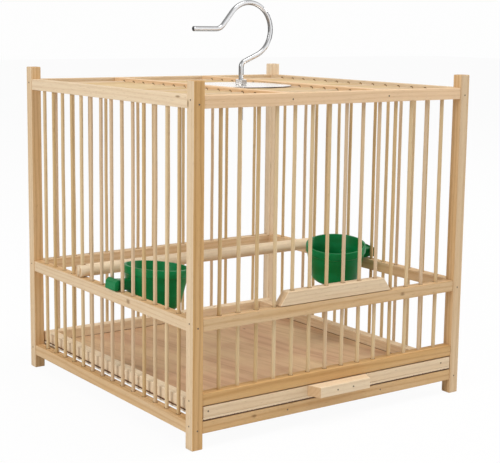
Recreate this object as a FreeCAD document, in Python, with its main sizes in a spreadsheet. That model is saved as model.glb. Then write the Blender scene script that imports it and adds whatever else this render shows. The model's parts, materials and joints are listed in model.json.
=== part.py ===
import FreeCAD, Part
import math
import os
import re
import Sketcher

# A small wooden bird cage: four corner posts, butted rails, round bars, a lift-up door,
# a sliding tray, a swivelling hook, a perch and two hanging cups.
# Frame: +Z up, front and tray towards -Y, origin on the ground under the hook.

V = FreeCAD.Vector

# Driving sizes: millimetres, degrees and counts.
SIZES = (
    ("cage_width", 205, "over the corner posts, left to right"),
    ("cage_depth", 205, "over the corner posts, front to rear"),
    ("post_height", 205, "corner posts, ground to crown"),
    ("post_size", 7, "square section of a post"),
    ("post_crown", 8, "post standing above the top rails"),
    ("rail_depth", 6.5, "rail section, outside to inside"),
    ("rail_height", 7, "rail section, upright"),
    ("foot_height", 9, "clear height under the bottom rails"),
    ("tray_slot", 9, "clear height from bottom rail to lintel"),
    ("mid_rail_level", 67.5, "underside of the mid rails"),
    ("cross_rail_spread", 72, "between the roof cross rails' centre lines"),
    ("runner_spread", 72, "between the tray runners' centre lines"),
    ("bar_diameter", 2.4, "round bars"),
    ("bar_clearance", 0.05, "round a bar in its hole"),
    ("bar_seat", 4, "depth of a bar in the rail below"),
    ("bar_top_seat", 2.4, "depth of a bar in the top rail"),
    ("side_bar_count", 4, "front bars on each side of the door"),
    ("door_bar_count", 6, "bars in the door"),
    ("roof_bar_drop", 2.8, "roof bar centre below the rails' top"),
    ("roof_bar_seat", 3.2, "depth of a roof bar in a side rail"),
    ("door_block_height", 8, "wooden foot of the door"),
    ("door_end_margin", 4.7, "block top beyond the outer door bars"),
    ("door_end_slant", 5.8, "block underside beyond its top"),
    ("door_rest_gap", 0.3, "closed door above the mid rail"),
    ("door_bar_clearance", 0.3, "round a door bar in the top rail"),
    ("door_bar_seat", 5, "depth of a door bar in the block"),
    ("tray_floor_thickness", 2, "plywood floor"),
    ("tray_rest_gap", 0.3, "tray floor above the runners"),
    ("tray_side_gap", 0.5, "tray to the posts, each side"),
    ("tray_back_gap", 0.5, "tray to the rear bars"),
    ("tray_wall_height", 6.4, "tray walls and front strip"),
    ("tray_wall_thickness", 6.5, "side and back walls"),
    ("tray_left_inset", 0, "left wall in from the floor's edge"),
    ("tray_right_inset", 4.5, "right wall in from the floor's edge"),
    ("handle_length", 45, "tray handle where it meets the strip"),
    ("handle_reach", 8.4, "tray handle in front of the strip"),
    ("handle_end_slant", 3.4, "handle's front narrower at each end"),
    ("handle_height", 6.4, "tray handle, upright"),
    ("handle_drop", 0, "handle underside below the strip"),
    ("handle_shift", 1, "handle centre right of the middle"),
    ("handle_brad_spread", 12, "between the two handle brads"),
    ("hook_wire_diameter", 3.2, "bright wire of the hook"),
    ("hook_tail", 24, "wire end below the rails' top"),
    ("hook_bend_radius", 4, "first bend above the nut"),
    ("hook_rise_angle", 23, "climb of the wire into the loop"),
    ("hook_loop_radius", 17.3, "loop, at the wire's middle"),
    ("hook_loop_offset", 5.6, "loop centre right of the shank"),
    ("hook_loop_height", 34, "loop centre above the rails' top"),
    ("hook_fall_angle", 50, "drop of the wire out of the loop"),
    ("hook_tip_radius", 7, "bend into the tip"),
    ("hook_tip_height", 34.5, "tip above the rails' top"),
    ("hook_tip_reach", 37, "tip end left of the shank"),
    ("hook_running_fit", 0.05, "round the shank in its bores"),
    ("hook_nut_flats", 7, "hexagon across the flats"),
    ("hook_nut_height", 3.2, "hexagon nut"),
    ("hook_nut_gap", 0.1, "nut to the plate that it turns on"),
    ("hook_plate_diameter", 65, "round plate on the roof bars"),
    ("hook_washer_diameter", 30, "washer under the roof bars"),
    ("hook_plate_thickness", 0.6, "plate and washer"),
    ("perch_diameter", 8, "round perch"),
    ("perch_bar_number", 10, "bars from the front to the perch"),
    ("perch_overhang", 1.6, "perch end outside its bar"),
    ("perch_slot_clearance", 0.3, "round a bar in the perch's slot"),
    ("perch_rest_gap", 0.3, "perch above the mid rails"),
    ("cup_rim_radius", 20.5, "outside of the rim band"),
    ("cup_rim_band", 5, "height of the rim band"),
    ("cup_band_step", 0.7, "body under the band, in from it"),
    ("cup_base_radius", 16, "outside at the base"),
    ("cup_height", 26.6, "base to rim"),
    ("cup_corner", 4.5, "slope round the base"),
    ("cup_wall", 1.3, "moulded wall"),
    ("cup_reach", 27.5, "cup axis inside the bars' line"),
    ("cup_rim_level", 14, "rim above the lug's underside"),
    ("cup_neck_width", 7.6, "lug between two bars"),
    ("cup_neck_height", 6, "lug between two bars"),
    ("cup_head_width", 12.6, "head outside the bars"),
    ("cup_head_height", 6.8, "head outside the bars"),
    ("cup_head_thickness", 2.6, "head outside the bars"),
    ("cup_head_slope", 2, "slope on the head's outer top edge"),
    ("cup_hang_gap", 0.6, "bars to the head"),
    ("cup_rest_gap", 0.3, "lug above the mid rail"),
    ("left_cup_gap_number", 6, "bars in front of the left cup's lug"),
    ("left_cup_droop", 5, "left cup tipped inwards"),
    ("left_cup_roll", 0, "left cup tipped to the front"),
    ("right_cup_gap_number", 6, "bars in front of the right cup's lug"),
    ("right_cup_droop", 6, "right cup tipped inwards"),
    ("right_cup_roll", 8, "right cup tipped to the front"),
    ("brad_diameter", 1, "headless nails"),
    ("brad_length", 14, "headless nails"),
    ("brad_stagger", 1.2, "nails of two rails above and below the middle"),
    ("brad_clearance", 0.03, "round a nail in its hole"),
)

doc = FreeCAD.newDocument("bird_cage")
sheet = doc.addObject("Spreadsheet::Sheet", "Sizes")
for row, (alias, number, meaning) in enumerate(SIZES, start=1):
    sheet.set(f"A{row}", meaning)
    sheet.set(f"B{row}", str(number))
    sheet.setAlias(f"B{row}", alias)
reader = doc.addObject("App::FeaturePython", "Reader")
reader.addProperty("App::PropertyFloat", "Number")
doc.recompute()

# Lengths that follow from the driving sizes, as expressions.
SPAN_X = "(cage_width - 2 * post_size)"
SPAN_Y = "(cage_depth - 2 * post_size)"
LINE_X = "((cage_width - post_size) / 2)"
LINE_Y = "((cage_depth - post_size) / 2)"
BAR_COUNT = "(2 * side_bar_count + door_bar_count)"
PITCH_X = f"({SPAN_X} / ({BAR_COUNT} + 1))"
PITCH_Y = f"({SPAN_Y} / ({BAR_COUNT} + 1))"
BASE_TOP = "(foot_height + rail_height)"
LINTEL_LEVEL = f"({BASE_TOP} + tray_slot)"
LINTEL_TOP = f"({LINTEL_LEVEL} + rail_height)"
MID_TOP = "(mid_rail_level + rail_height)"
ROOF_TOP = "(post_height - post_crown)"
TOP_LEVEL = f"({ROOF_TOP} - rail_height)"
ROOF_BAR_LEVEL = f"({ROOF_TOP} - roof_bar_drop)"
FRONT_FACE = f"({LINE_Y} + rail_depth / 2)"
BAR_HOLE = "(bar_diameter + 2 * bar_clearance)"
DOOR_HOLE = "(bar_diameter + 2 * door_bar_clearance)"

# Round pieces are regular prisms, with few sides where there are many of them.
HEXAGON = 6
BAR_SIDES = 6
WIRE_SIDES = 8
CUP_SIDES = 24
PLATE_SIDES = 36
BAR_CORNER = f"(bar_diameter / 2 / cos(180 / {BAR_SIDES}))"

pieces = []
cuts = []


def sized(text):
    """Names the sheet before each of its aliases, which all hold an underscore."""
    return re.sub(r"\b[a-z]+_\w+", lambda alias: "Sizes." + alias.group(), text)


def worth(text):
    """The present value of an expression, for a sketch's first points."""
    reader.setExpression("Number", sized(text))
    reader.recompute()
    return reader.Number


def bind(thing, **properties):
    for name, text in properties.items():
        thing.setExpression(name, sized(text))


def turned(degrees, axis="0; 0; 1"):
    return f"rotation(vector({axis}); {degrees})"


def place(thing, x, y, z, turn=turned(0)):
    bind(thing, Placement=f"placement(vector({x}; {y}; {z}); {turn})")


def add(kind, label):
    thing = doc.addObject(kind, label)
    thing.Label = label
    return thing


def keep(thing):
    pieces.append(thing)
    return thing


# Sketches and features of a body


def flat_sketch(body, role, lift="0", across="0"):
    sketch = body.newObject("Sketcher::SketchObject", body.Label + "_sketch")
    plane = next(item for item in body.Origin.OriginFeatures if item.Role == role)
    sketch.AttachmentSupport = [(plane, "")]
    sketch.MapMode = "FlatFace"
    sketch.setExpression("AttachmentOffset.Base.x", sized(across))
    sketch.setExpression("AttachmentOffset.Base.z", sized(lift))
    return sketch


def measure(sketch, name, kind, *where, text):
    """Adds a dimension to a sketch and ties it to an expression."""
    number = sketch.addConstraint(Sketcher.Constraint(kind, *where, worth(text)))
    sketch.renameConstraint(number, name)
    sketch.setExpression("Constraints." + name, sized(text))


def outline(sketch, corners):
    """A closed outline of straight lines, each corner tied to two expressions."""
    points = [V(worth(x), worth(y), 0) for x, y in corners]
    lines = [Part.LineSegment(a, b) for a, b in zip(points, points[1:] + points[:1])]
    ids = sketch.addGeometry(lines, False)
    for number, (x, y) in enumerate(corners):
        joint = Sketcher.Constraint("Coincident", ids[number - 1], 2, ids[number], 1)
        sketch.addConstraint(joint)
        measure(sketch, f"x{number}", "DistanceX", -1, 1, ids[number], 1, text=x)
        measure(sketch, f"y{number}", "DistanceY", -1, 1, ids[number], 1, text=y)


def rectangle(sketch, low_x, low_y, high_x, high_y):
    outline(sketch, ((low_x, low_y), (high_x, low_y), (high_x, high_y), (low_x, high_y)))


def polygon(sketch, sides, x, y, radius, flat_up=False):
    """A regular outline by its corners' radius, with a flat to the right or, if asked, on top."""
    centre = V(worth(x), worth(y), 0)
    size = worth(radius)
    first = math.pi / sides + (math.pi / 2 if flat_up else 0)
    corners = []
    for number in range(sides):
        angle = first + 2 * math.pi * number / sides
        corners.append(centre + V(math.cos(angle), math.sin(angle), 0) * size)
    lines = [Part.LineSegment(a, b) for a, b in zip(corners, corners[1:] + corners[:1])]
    ids = sketch.addGeometry(lines, False)
    ring = sketch.addGeometry(Part.Circle(centre, V(0, 0, 1), size), True)
    rules = []
    for number in range(sides):
        following = ids[(number + 1) % sides]
        rules.append(Sketcher.Constraint("Coincident", ids[number], 2, following, 1))
        rules.append(Sketcher.Constraint("PointOnObject", ids[number], 2, ring))
    for side in ids[1:]:
        rules.append(Sketcher.Constraint("Equal", ids[0], side))
    rules.append(Sketcher.Constraint("Horizontal" if flat_up else "Vertical", ids[-1]))
    sketch.addConstraint(rules)
    measure(sketch, "radius", "Radius", ring, text=radius)
    measure(sketch, "x", "DistanceX", -1, 1, ring, 3, text=x)
    measure(sketch, "y", "DistanceY", -1, 1, ring, 3, text=y)


def bar_section(sketch, x, y, across, flat_up=False):
    polygon(sketch, BAR_SIDES, x, y, f"{across} / 2 / cos(180 / {BAR_SIDES})", flat_up)


def feature(body, kind, sketch, **properties):
    thing = body.newObject("PartDesign::" + kind, body.Label + "_" + kind.lower())
    thing.Profile = sketch
    bind(thing, **properties)
    body.Tip = thing
    return thing


def repeat(body, original, sketch, pitch, count):
    pattern = body.newObject("PartDesign::LinearPattern", body.Label + "_row")
    pattern.Originals = [original]
    pattern.Direction = (sketch, ["H_Axis"])
    bind(pattern, Length=f"{pitch} * ({count} - 1)", Occurrences=count)
    body.Tip = pattern
    return pattern


def cut_away(body, base, cut):
    """Remembers a cut, whose volume is compared before anything is written."""
    cuts.append((body, base, cut))


# Stock pieces


def block(label, length, width, height, x, y, z):
    """A square-cut wooden piece, from its lowest corner."""
    box = add("Part::Box", label)
    bind(box, Length=length, Width=width, Height=height)
    place(box, x, y, z)
    return box


def prism(label, sides, radius, height, z):
    """A regular upright prism on the hook's axis, by its corners' radius."""
    bar = add("Part::Prism", label)
    bar.Polygon = sides
    bind(bar, Circumradius=radius, Height=height)
    place(bar, "0", "0", z)
    return bar


def without(label, base, tool):
    rest = add("Part::Cut", label)
    rest.Base = base
    rest.Tool = tool
    cut_away(rest, base, rest)
    return rest


def group(label, members):
    bundle = add("Part::Compound", label)
    bundle.Links = members
    return bundle


# Headless nails: a flush end on the outside face, driven straight in

DRIVEN = {
    "+x": turned(90, "0; 1; 0"),
    "-x": turned(-90, "0; 1; 0"),
    "+y": turned(-90, "1; 0; 0"),
    "-y": turned(90, "1; 0; 0"),
}


def brad(label, x, y, z, way, *held):
    """A nail, the drill for its hole, which starts outside the face, and the pieces that it holds."""
    nail = add("Part::Prism", label)
    nail.Polygon = HEXAGON
    bind(nail, Circumradius="brad_diameter / 2", Height="brad_length")
    place(nail, x, y, z, DRIVEN[way])
    drill = add("Part::Prism", label + "_drill")
    drill.Polygon = HEXAGON
    bind(drill, Circumradius="brad_diameter / 2 + brad_clearance")
    bind(drill, Height="brad_length + brad_clearance + brad_diameter")
    outside = "- brad_diameter" if way[0] == "+" else "+ brad_diameter"
    if way[1] == "x":
        x = f"{x} {outside}"
    else:
        y = f"{y} {outside}"
    place(drill, x, y, z, DRIVEN[way])
    return nail, drill, held


def nailed(label, stock, nails):
    """The finished piece: its stock with the holes of its own nails."""
    drills = [drill for nail, drill, held in nails if label in held]
    return keep(without(label, stock, group(label + "_drills", drills)))


RAIL_LEVELS = {
    "bottom": "foot_height",
    "mid": "mid_rail_level",
    "top": TOP_LEVEL,
}
CORNERS = {
    ("front", "left"): ("-", "-"),
    ("front", "right"): ("", "-"),
    ("rear", "left"): ("-", ""),
    ("rear", "right"): ("", ""),
}


def inwards(sign, axis):
    return ("+" if sign == "-" else "-") + axis


frame_nails = []
for (end, side), (sign_x, sign_y) in CORNERS.items():
    post = f"post_{end}_{side}"
    outside_x = f"{sign_x}cage_width / 2"
    outside_y = f"{sign_y}cage_depth / 2"
    way_x = inwards(sign_x, "x")
    way_y = inwards(sign_y, "y")
    for name, level in RAIL_LEVELS.items():
        high = f"{level} + rail_height / 2 + brad_stagger"
        low = f"{level} + rail_height / 2 - brad_stagger"
        label = f"brad_{name}_{end}_{side}"
        held = (post, f"{name}_rail_{end}")
        frame_nails.append(brad(label + "_x", outside_x, sign_y + LINE_Y, high, way_x, *held))
        held = (post, f"{name}_rail_{side}")
        frame_nails.append(brad(label + "_y", sign_x + LINE_X, outside_y, low, way_y, *held))
    if end == "front":
        middle = f"{LINTEL_LEVEL} + rail_height / 2"
        held = (post, "tray_lintel_rail")
        frame_nails.append(brad("brad_lintel_" + side, outside_x, sign_y + LINE_Y, middle, way_x, *held))
    for name, rail_name, spread in (
        ("top", "roof_cross_rail", "cross_rail_spread"),
        ("bottom", "tray_runner", "runner_spread"),
    ):
        middle = f"{RAIL_LEVELS[name]} + rail_height / 2"
        place_x = f"{sign_x}{spread} / 2"
        label = f"brad_{rail_name}_{end}_{side}"
        held = (f"{name}_rail_{end}", f"{rail_name}_{side}")
        frame_nails.append(brad(label, place_x, sign_y + FRONT_FACE, middle, way_y, *held))
keep(group("frame_brads", [nail for nail, drill, held in frame_nails]))

# Corner posts

for (end, side), (sign_x, sign_y) in CORNERS.items():
    post_x = f"{sign_x}{LINE_X} - post_size / 2"
    post_y = f"{sign_y}{LINE_Y} - post_size / 2"
    label = f"post_{end}_{side}"
    stock = block("stock_" + label, "post_size", "post_size", "post_height", post_x, post_y, "0")
    nailed(label, stock, frame_nails)

# Rails: planed strips, drilled in rows for the bars, each lying along its own X axis

SIDES = {
    "front": ("0", "-" + LINE_Y, 0, SPAN_X, PITCH_X),
    "rear": ("0", LINE_Y, 180, SPAN_X, PITCH_X),
    "left": ("-" + LINE_X, "0", 90, SPAN_Y, PITCH_Y),
    "right": (LINE_X, "0", -90, SPAN_Y, PITCH_Y),
}


def rail(label, length, x, y, z, turn):
    body = add("PartDesign::Body", "stock_" + label)
    sketch = flat_sketch(body, "XY_Plane")
    rectangle(sketch, f"-{length} / 2", "-rail_depth / 2", f"{length} / 2", "rail_depth / 2")
    feature(body, "Pad", sketch, Length="rail_height")
    place(body, x, y, z, turned(turn))
    return body


def bar_place(span, pitch, number):
    return f"(-{span} / 2 + ({number}) * {pitch})"


def drill_row(body, span, pitch, number, count, face, depth="", across=BAR_HOLE):
    """A row of holes from bar `number` on, into a face or, with no depth, right through."""
    start = bar_place(span, pitch, number)
    before = body.Tip
    if face == "inside":
        sketch = flat_sketch(body, "XZ_Plane", "rail_depth / 2")
        bar_section(sketch, start, "rail_height - roof_bar_drop", across, flat_up=True)
    else:
        sketch = flat_sketch(body, "XY_Plane", "rail_height" if face == "top" else "0")
        bar_section(sketch, start, "0", across)
    hole = feature(body, "Pocket", sketch)
    hole.Reversed = face == "underside"
    if depth:
        bind(hole, Length=f"{depth} + bar_clearance")
    else:
        hole.Type = "ThroughAll"
    cut_away(body, before, repeat(body, hole, sketch, pitch, count))


AFTER_DOOR = "side_bar_count + door_bar_count + 1"
FROM_DOOR = "side_bar_count + 1"
FRONT_GROUPS = (("1", "side_bar_count"), (AFTER_DOOR, "side_bar_count"))

for side, (x, y, turn, span, pitch) in SIDES.items():
    bottom = rail(f"bottom_rail_{side}", span, x, y, "foot_height", turn)
    mid = rail(f"mid_rail_{side}", span, x, y, "mid_rail_level", turn)
    top = rail(f"top_rail_{side}", span, x, y, TOP_LEVEL, turn)
    if side == "front":
        for number, count in FRONT_GROUPS:
            drill_row(mid, span, pitch, number, count, "top")
            drill_row(top, span, pitch, number, count, "underside", "bar_top_seat")
        drill_row(mid, span, pitch, FROM_DOOR, "door_bar_count", "underside", "bar_seat")
        drill_row(top, span, pitch, FROM_DOOR, "door_bar_count", "top", across=DOOR_HOLE)
        lintel = rail("tray_lintel_rail", span, x, y, LINTEL_LEVEL, turn)
        drill_row(lintel, span, pitch, "1", BAR_COUNT, "top", "bar_seat")
        nailed("tray_lintel_rail", lintel, frame_nails)
    else:
        drill_row(bottom, span, pitch, "1", BAR_COUNT, "top", "bar_seat")
        drill_row(mid, span, pitch, "1", BAR_COUNT, "top")
        drill_row(top, span, pitch, "1", BAR_COUNT, "underside", "bar_top_seat")
    if side in ("left", "right"):
        drill_row(top, span, pitch, "1", BAR_COUNT, "inside", "roof_bar_seat")
    nailed(f"bottom_rail_{side}", bottom, frame_nails)
    nailed(f"mid_rail_{side}", mid, frame_nails)
    nailed(f"top_rail_{side}", top, frame_nails)

# Two cross rails in the roof and two tray runners, front to rear between the rails

BETWEEN_RAILS = f"(2 * {LINE_Y} - rail_depth)"
for side, sign in (("left", "-"), ("right", "")):
    place_x = f"{sign}cross_rail_spread / 2"
    cross = rail(f"roof_cross_rail_{side}", BETWEEN_RAILS, place_x, "0", TOP_LEVEL, 90)
    drill_row(cross, SPAN_Y, PITCH_Y, "1", BAR_COUNT, "inside")
    nailed(f"roof_cross_rail_{side}", cross, frame_nails)
    place_x = f"{sign}runner_spread / 2"
    runner = rail(f"tray_runner_{side}", BETWEEN_RAILS, place_x, "0", "foot_height", 90)
    nailed(f"tray_runner_{side}", runner, frame_nails)

# Bars, in rows that share the rails' spacing


def bar_row(label, side, number, count, low, high):
    x, y, turn, span, pitch = SIDES[side]
    body = add("PartDesign::Body", label)
    body.AllowCompound = True
    sketch = flat_sketch(body, "XY_Plane")
    bar_section(sketch, bar_place(span, pitch, number), "0", "bar_diameter")
    bar = feature(body, "Pad", sketch, Length=f"{high} - ({low})")
    repeat(body, bar, sketch, pitch, count)
    place(body, x, y, low, turned(turn))
    return keep(body)


BAR_FOOT = f"({BASE_TOP} - bar_seat)"
FRONT_BAR_FOOT = f"({LINTEL_TOP} - bar_seat)"
BAR_HEAD = f"({TOP_LEVEL} + bar_top_seat)"
for side in ("left", "right", "rear"):
    bar_row(f"{side}_wall_bars", side, "1", BAR_COUNT, BAR_FOOT, BAR_HEAD)
for side, (number, count) in zip(("left", "right"), FRONT_GROUPS):
    bar_row(f"front_bars_{side}", "front", number, count, FRONT_BAR_FOOT, BAR_HEAD)
sill_head = "(mid_rail_level + bar_seat)"
bar_row("front_sill_bars", "front", FROM_DOOR, "door_bar_count", FRONT_BAR_FOOT, sill_head)

roof = add("PartDesign::Body", "roof_bars")
roof.AllowCompound = True
roof_half = f"({LINE_X} - rail_depth / 2 + roof_bar_seat)"
roof_sketch = flat_sketch(roof, "YZ_Plane", f"-{roof_half}")
bar_section(roof_sketch, bar_place(SPAN_Y, PITCH_Y, "1"), "0", "bar_diameter", flat_up=True)
roof_bar = feature(roof, "Pad", roof_sketch, Length=f"2 * {roof_half}")
repeat(roof, roof_bar, roof_sketch, PITCH_Y, BAR_COUNT)
place(roof, "0", "0", ROOF_BAR_LEVEL)
keep(roof)

# Door: a wooden foot with slanted ends and the bars that slide through the top rail

DOOR_LEVEL = f"({MID_TOP} + door_rest_gap)"
DOOR_TOP = f"({DOOR_LEVEL} + door_block_height)"
door_half = f"({PITCH_X} * (door_bar_count - 1) / 2 + door_end_margin)"
door = add("PartDesign::Body", "door_block")
door_sketch = flat_sketch(door, "XZ_Plane", "-rail_depth / 2")
outline(
    door_sketch,
    (
        (f"-{door_half} - door_end_slant", "0"),
        (f"{door_half} + door_end_slant", "0"),
        (door_half, "door_block_height"),
        (f"-{door_half}", "door_block_height"),
    ),
)
foot = feature(door, "Pad", door_sketch, Length="rail_depth")
door_holes = flat_sketch(door, "XY_Plane", "door_block_height")
bar_section(door_holes, bar_place(SPAN_X, PITCH_X, FROM_DOOR), "0", BAR_HOLE)
door_hole = feature(door, "Pocket", door_holes, Length="door_bar_seat + bar_clearance")
cut_away(door, foot, repeat(door, door_hole, door_holes, PITCH_X, "door_bar_count"))
place(door, "0", "-" + LINE_Y, DOOR_LEVEL)
keep(door)
bar_row("door_bars", "front", FROM_DOOR, "door_bar_count", f"({DOOR_TOP} - door_bar_seat)", ROOF_TOP)

# Tray: a plywood floor that slides on the runners, with low walls, a front strip and a handle

FLOOR_LEVEL = f"({BASE_TOP} + tray_rest_gap)"
WALL_LEVEL = f"({FLOOR_LEVEL} + tray_floor_thickness)"
TRAY_WIDTH = f"({SPAN_X} - 2 * tray_side_gap)"
TRAY_LEFT = f"(-{TRAY_WIDTH} / 2)"
TRAY_FRONT = f"(-{FRONT_FACE})"
TRAY_BACK = f"({LINE_Y} - {BAR_CORNER} - tray_back_gap)"
BACK_WALL = f"({TRAY_BACK} - tray_wall_thickness)"
STRIP_BACK = f"({TRAY_FRONT} + rail_depth)"
WALL_PLACES = {
    "left": f"({TRAY_LEFT} + tray_left_inset)",
    "right": f"({TRAY_WIDTH} / 2 - tray_right_inset - tray_wall_thickness)",
}
HANDLE_FRONT = f"({TRAY_FRONT} - handle_reach)"
HANDLE_LEVEL = f"({WALL_LEVEL} - handle_drop)"
WALL_MIDDLE = f"{WALL_LEVEL} + tray_wall_height / 2"
HANDLE_MIDDLE = f"{HANDLE_LEVEL} + handle_height / 2"

tray_nails = []
for side, sign in (("left", "-"), ("right", "+")):
    wall = f"tray_{side}_wall"
    wall_x = f"{WALL_PLACES[side]} + tray_wall_thickness / 2"
    held = (wall, "tray_front_strip")
    tray_nails.append(brad(f"brad_strip_{side}", wall_x, TRAY_FRONT, WALL_MIDDLE, "+y", *held))
    held = (wall, "tray_back_wall")
    tray_nails.append(brad(f"brad_back_{side}", wall_x, TRAY_BACK, WALL_MIDDLE, "-y", *held))
    held = ("tray_handle", "tray_front_strip")
    brad_x = f"handle_shift {sign} handle_brad_spread / 2"
    tray_nails.append(brad(f"brad_handle_{side}", brad_x, HANDLE_FRONT, HANDLE_MIDDLE, "+y", *held))
keep(group("tray_brads", [nail for nail, drill, held in tray_nails]))

TRAY_DEPTH = f"({TRAY_BACK} - {TRAY_FRONT})"
WALL_LENGTH = f"({BACK_WALL} - {STRIP_BACK})"
HIGH = "tray_wall_height"
THICK = "tray_wall_thickness"
FLOOR_SIZE = (TRAY_WIDTH, TRAY_DEPTH, "tray_floor_thickness")
keep(block("tray_floor", *FLOOR_SIZE, TRAY_LEFT, TRAY_FRONT, FLOOR_LEVEL))
for label, size, corner in (
    ("tray_front_strip", (TRAY_WIDTH, "rail_depth", HIGH), (TRAY_LEFT, TRAY_FRONT, WALL_LEVEL)),
    ("tray_back_wall", (TRAY_WIDTH, THICK, HIGH), (TRAY_LEFT, BACK_WALL, WALL_LEVEL)),
    ("tray_left_wall", (THICK, WALL_LENGTH, HIGH), (WALL_PLACES["left"], STRIP_BACK, WALL_LEVEL)),
    ("tray_right_wall", (THICK, WALL_LENGTH, HIGH), (WALL_PLACES["right"], STRIP_BACK, WALL_LEVEL)),
):
    nailed(label, block("stock_" + label, *size, *corner), tray_nails)

handle = add("PartDesign::Body", "stock_tray_handle")
handle_sketch = flat_sketch(handle, "XY_Plane")
outline(
    handle_sketch,
    (
        ("-handle_length / 2 + handle_end_slant", "-handle_reach"),
        ("handle_length / 2 - handle_end_slant", "-handle_reach"),
        ("handle_length / 2", "0"),
        ("-handle_length / 2", "0"),
    ),
)
feature(handle, "Pad", handle_sketch, Length="handle_height")
place(handle, "handle_shift", TRAY_FRONT, HANDLE_LEVEL)
nailed("tray_handle", handle, tray_nails)

# Hook: a bent wire that turns in a round plate on the roof bars and a washer under them

PLATE_LEVEL = f"({ROOF_BAR_LEVEL} + bar_diameter / 2)"
WASHER_LEVEL = f"({ROOF_BAR_LEVEL} - bar_diameter / 2 - hook_plate_thickness)"
TOP_NUT_LEVEL = f"({PLATE_LEVEL} + hook_plate_thickness + hook_nut_gap)"
LOCK_NUT_LEVEL = f"({WASHER_LEVEL} - hook_nut_gap - hook_nut_height)"
SHANK_BORE = "(hook_wire_diameter + 2 * hook_running_fit)"


def bored(label, outside, height, z):
    bore = add("Part::Cylinder", label + "_bore")
    bind(bore, Radius=f"{SHANK_BORE} / 2", Height=height)
    place(bore, "0", "0", z)
    return keep(without(label, outside, bore))


for label, across, z in (
    ("hook_plate", "hook_plate_diameter", PLATE_LEVEL),
    ("hook_lower_washer", "hook_washer_diameter", WASHER_LEVEL),
):
    disc = prism(label + "_disc", PLATE_SIDES, f"{across} / 2", "hook_plate_thickness", z)
    bored(label, disc, "hook_plate_thickness", z)
for label, z in (("hook_top_nut", TOP_NUT_LEVEL), ("hook_lock_nut", LOCK_NUT_LEVEL)):
    corner = f"hook_nut_flats / 2 / cos(180 / {HEXAGON})"
    bored(label, prism(label + "_hexagon", HEXAGON, corner, "hook_nut_height", z), "hook_nut_height", z)


def hook_path(sketch):
    """The wire's middle line, from the shank's end round the loop to the tip."""
    rise = math.radians(worth("hook_rise_angle"))
    fall = math.radians(worth("hook_fall_angle"))
    loop = V(worth("hook_loop_offset"), worth("hook_loop_height"), 0)
    loop_radius = worth("hook_loop_radius")
    bend_radius = worth("hook_bend_radius")
    tip_radius = worth("hook_tip_radius")
    tip = V(-worth("hook_tip_reach"), worth("hook_tip_height"), 0)
    tail = V(0, -worth("hook_tail"), 0)
    loop_start = loop + V(math.sin(rise), -math.cos(rise), 0) * loop_radius
    loop_end = loop + V(-math.sin(fall), math.cos(fall), 0) * loop_radius
    bend_corner = loop_start - V(math.cos(rise), math.sin(rise), 0) * (loop_start.x / math.cos(rise))
    bend_run = bend_radius * math.tan((math.pi / 2 - rise) / 2)
    bend_low = bend_corner - V(0, bend_run, 0)
    bend_high = bend_corner + V(math.cos(rise), math.sin(rise), 0) * bend_run
    fall_length = (loop_end.y - tip.y) / math.sin(fall)
    tip_corner = loop_end - V(math.cos(fall), math.sin(fall), 0) * fall_length
    tip_run = tip_radius * math.tan(fall / 2)
    tip_high = tip_corner + V(math.cos(fall), math.sin(fall), 0) * tip_run
    tip_low = tip_corner - V(tip_run, 0, 0)
    bend_centre = bend_low + V(bend_radius, 0, 0)
    tip_centre = tip_low + V(0, tip_radius, 0)

    def arc(centre, radius, start, end):
        circle = Part.Circle(centre, V(0, 0, 1), radius)
        return Part.ArcOfCircle(circle, start, end)

    shank = sketch.addGeometry(Part.LineSegment(tail, bend_low))
    bend = sketch.addGeometry(arc(bend_centre, bend_radius, math.pi / 2 + rise, math.pi))
    climb = sketch.addGeometry(Part.LineSegment(bend_high, loop_start))
    round_loop = sketch.addGeometry(arc(loop, loop_radius, rise - math.pi / 2, math.pi / 2 + fall))
    drop = sketch.addGeometry(Part.LineSegment(loop_end, tip_high))
    turn = sketch.addGeometry(arc(tip_centre, tip_radius, -math.pi / 2, fall - math.pi / 2))
    end = sketch.addGeometry(Part.LineSegment(tip_low, tip))

    # Each run meets the next one smoothly, end to end.
    for one, one_end, other, other_end in (
        (shank, 2, bend, 2),
        (bend, 1, climb, 1),
        (climb, 2, round_loop, 1),
        (round_loop, 2, drop, 1),
        (drop, 2, turn, 2),
        (turn, 1, end, 1),
    ):
        sketch.addConstraint(Sketcher.Constraint("Tangent", one, one_end, other, other_end))
    sketch.addConstraint(Sketcher.Constraint("PointOnObject", shank, 1, -2))
    sketch.addConstraint(Sketcher.Constraint("Vertical", shank))
    sketch.addConstraint(Sketcher.Constraint("Horizontal", end))
    measure(sketch, "tail", "DistanceY", shank, 1, -1, 1, text="hook_tail")
    measure(sketch, "bend", "Radius", bend, text="hook_bend_radius")
    measure(sketch, "rise", "Angle", -1, 1, climb, 1, text="hook_rise_angle")
    measure(sketch, "loop", "Radius", round_loop, text="hook_loop_radius")
    measure(sketch, "loop_x", "DistanceX", -1, 1, round_loop, 3, text="hook_loop_offset")
    measure(sketch, "loop_y", "DistanceY", -1, 1, round_loop, 3, text="hook_loop_height")
    measure(sketch, "fall", "Angle", -1, 1, drop, 2, text="hook_fall_angle")
    measure(sketch, "turn", "Radius", turn, text="hook_tip_radius")
    measure(sketch, "tip_x", "DistanceX", end, 2, -1, 1, text="hook_tip_reach")
    measure(sketch, "tip_y", "DistanceY", -1, 1, end, 2, text="hook_tip_height")


hook = add("PartDesign::Body", "hook_wire")
hook_line = flat_sketch(hook, "XZ_Plane")
hook_path(hook_line)
hook_section = flat_sketch(hook, "XY_Plane", "-hook_tail")
polygon(hook_section, WIRE_SIDES, "0", "0", "hook_wire_diameter / 2")
wire = feature(hook, "AdditivePipe", hook_section)
wire.Spine = hook_line
place(hook, "0", "0", ROOF_TOP)
keep(hook)

# Perch: a dowel with a slot in each end that straddles a side bar

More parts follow.
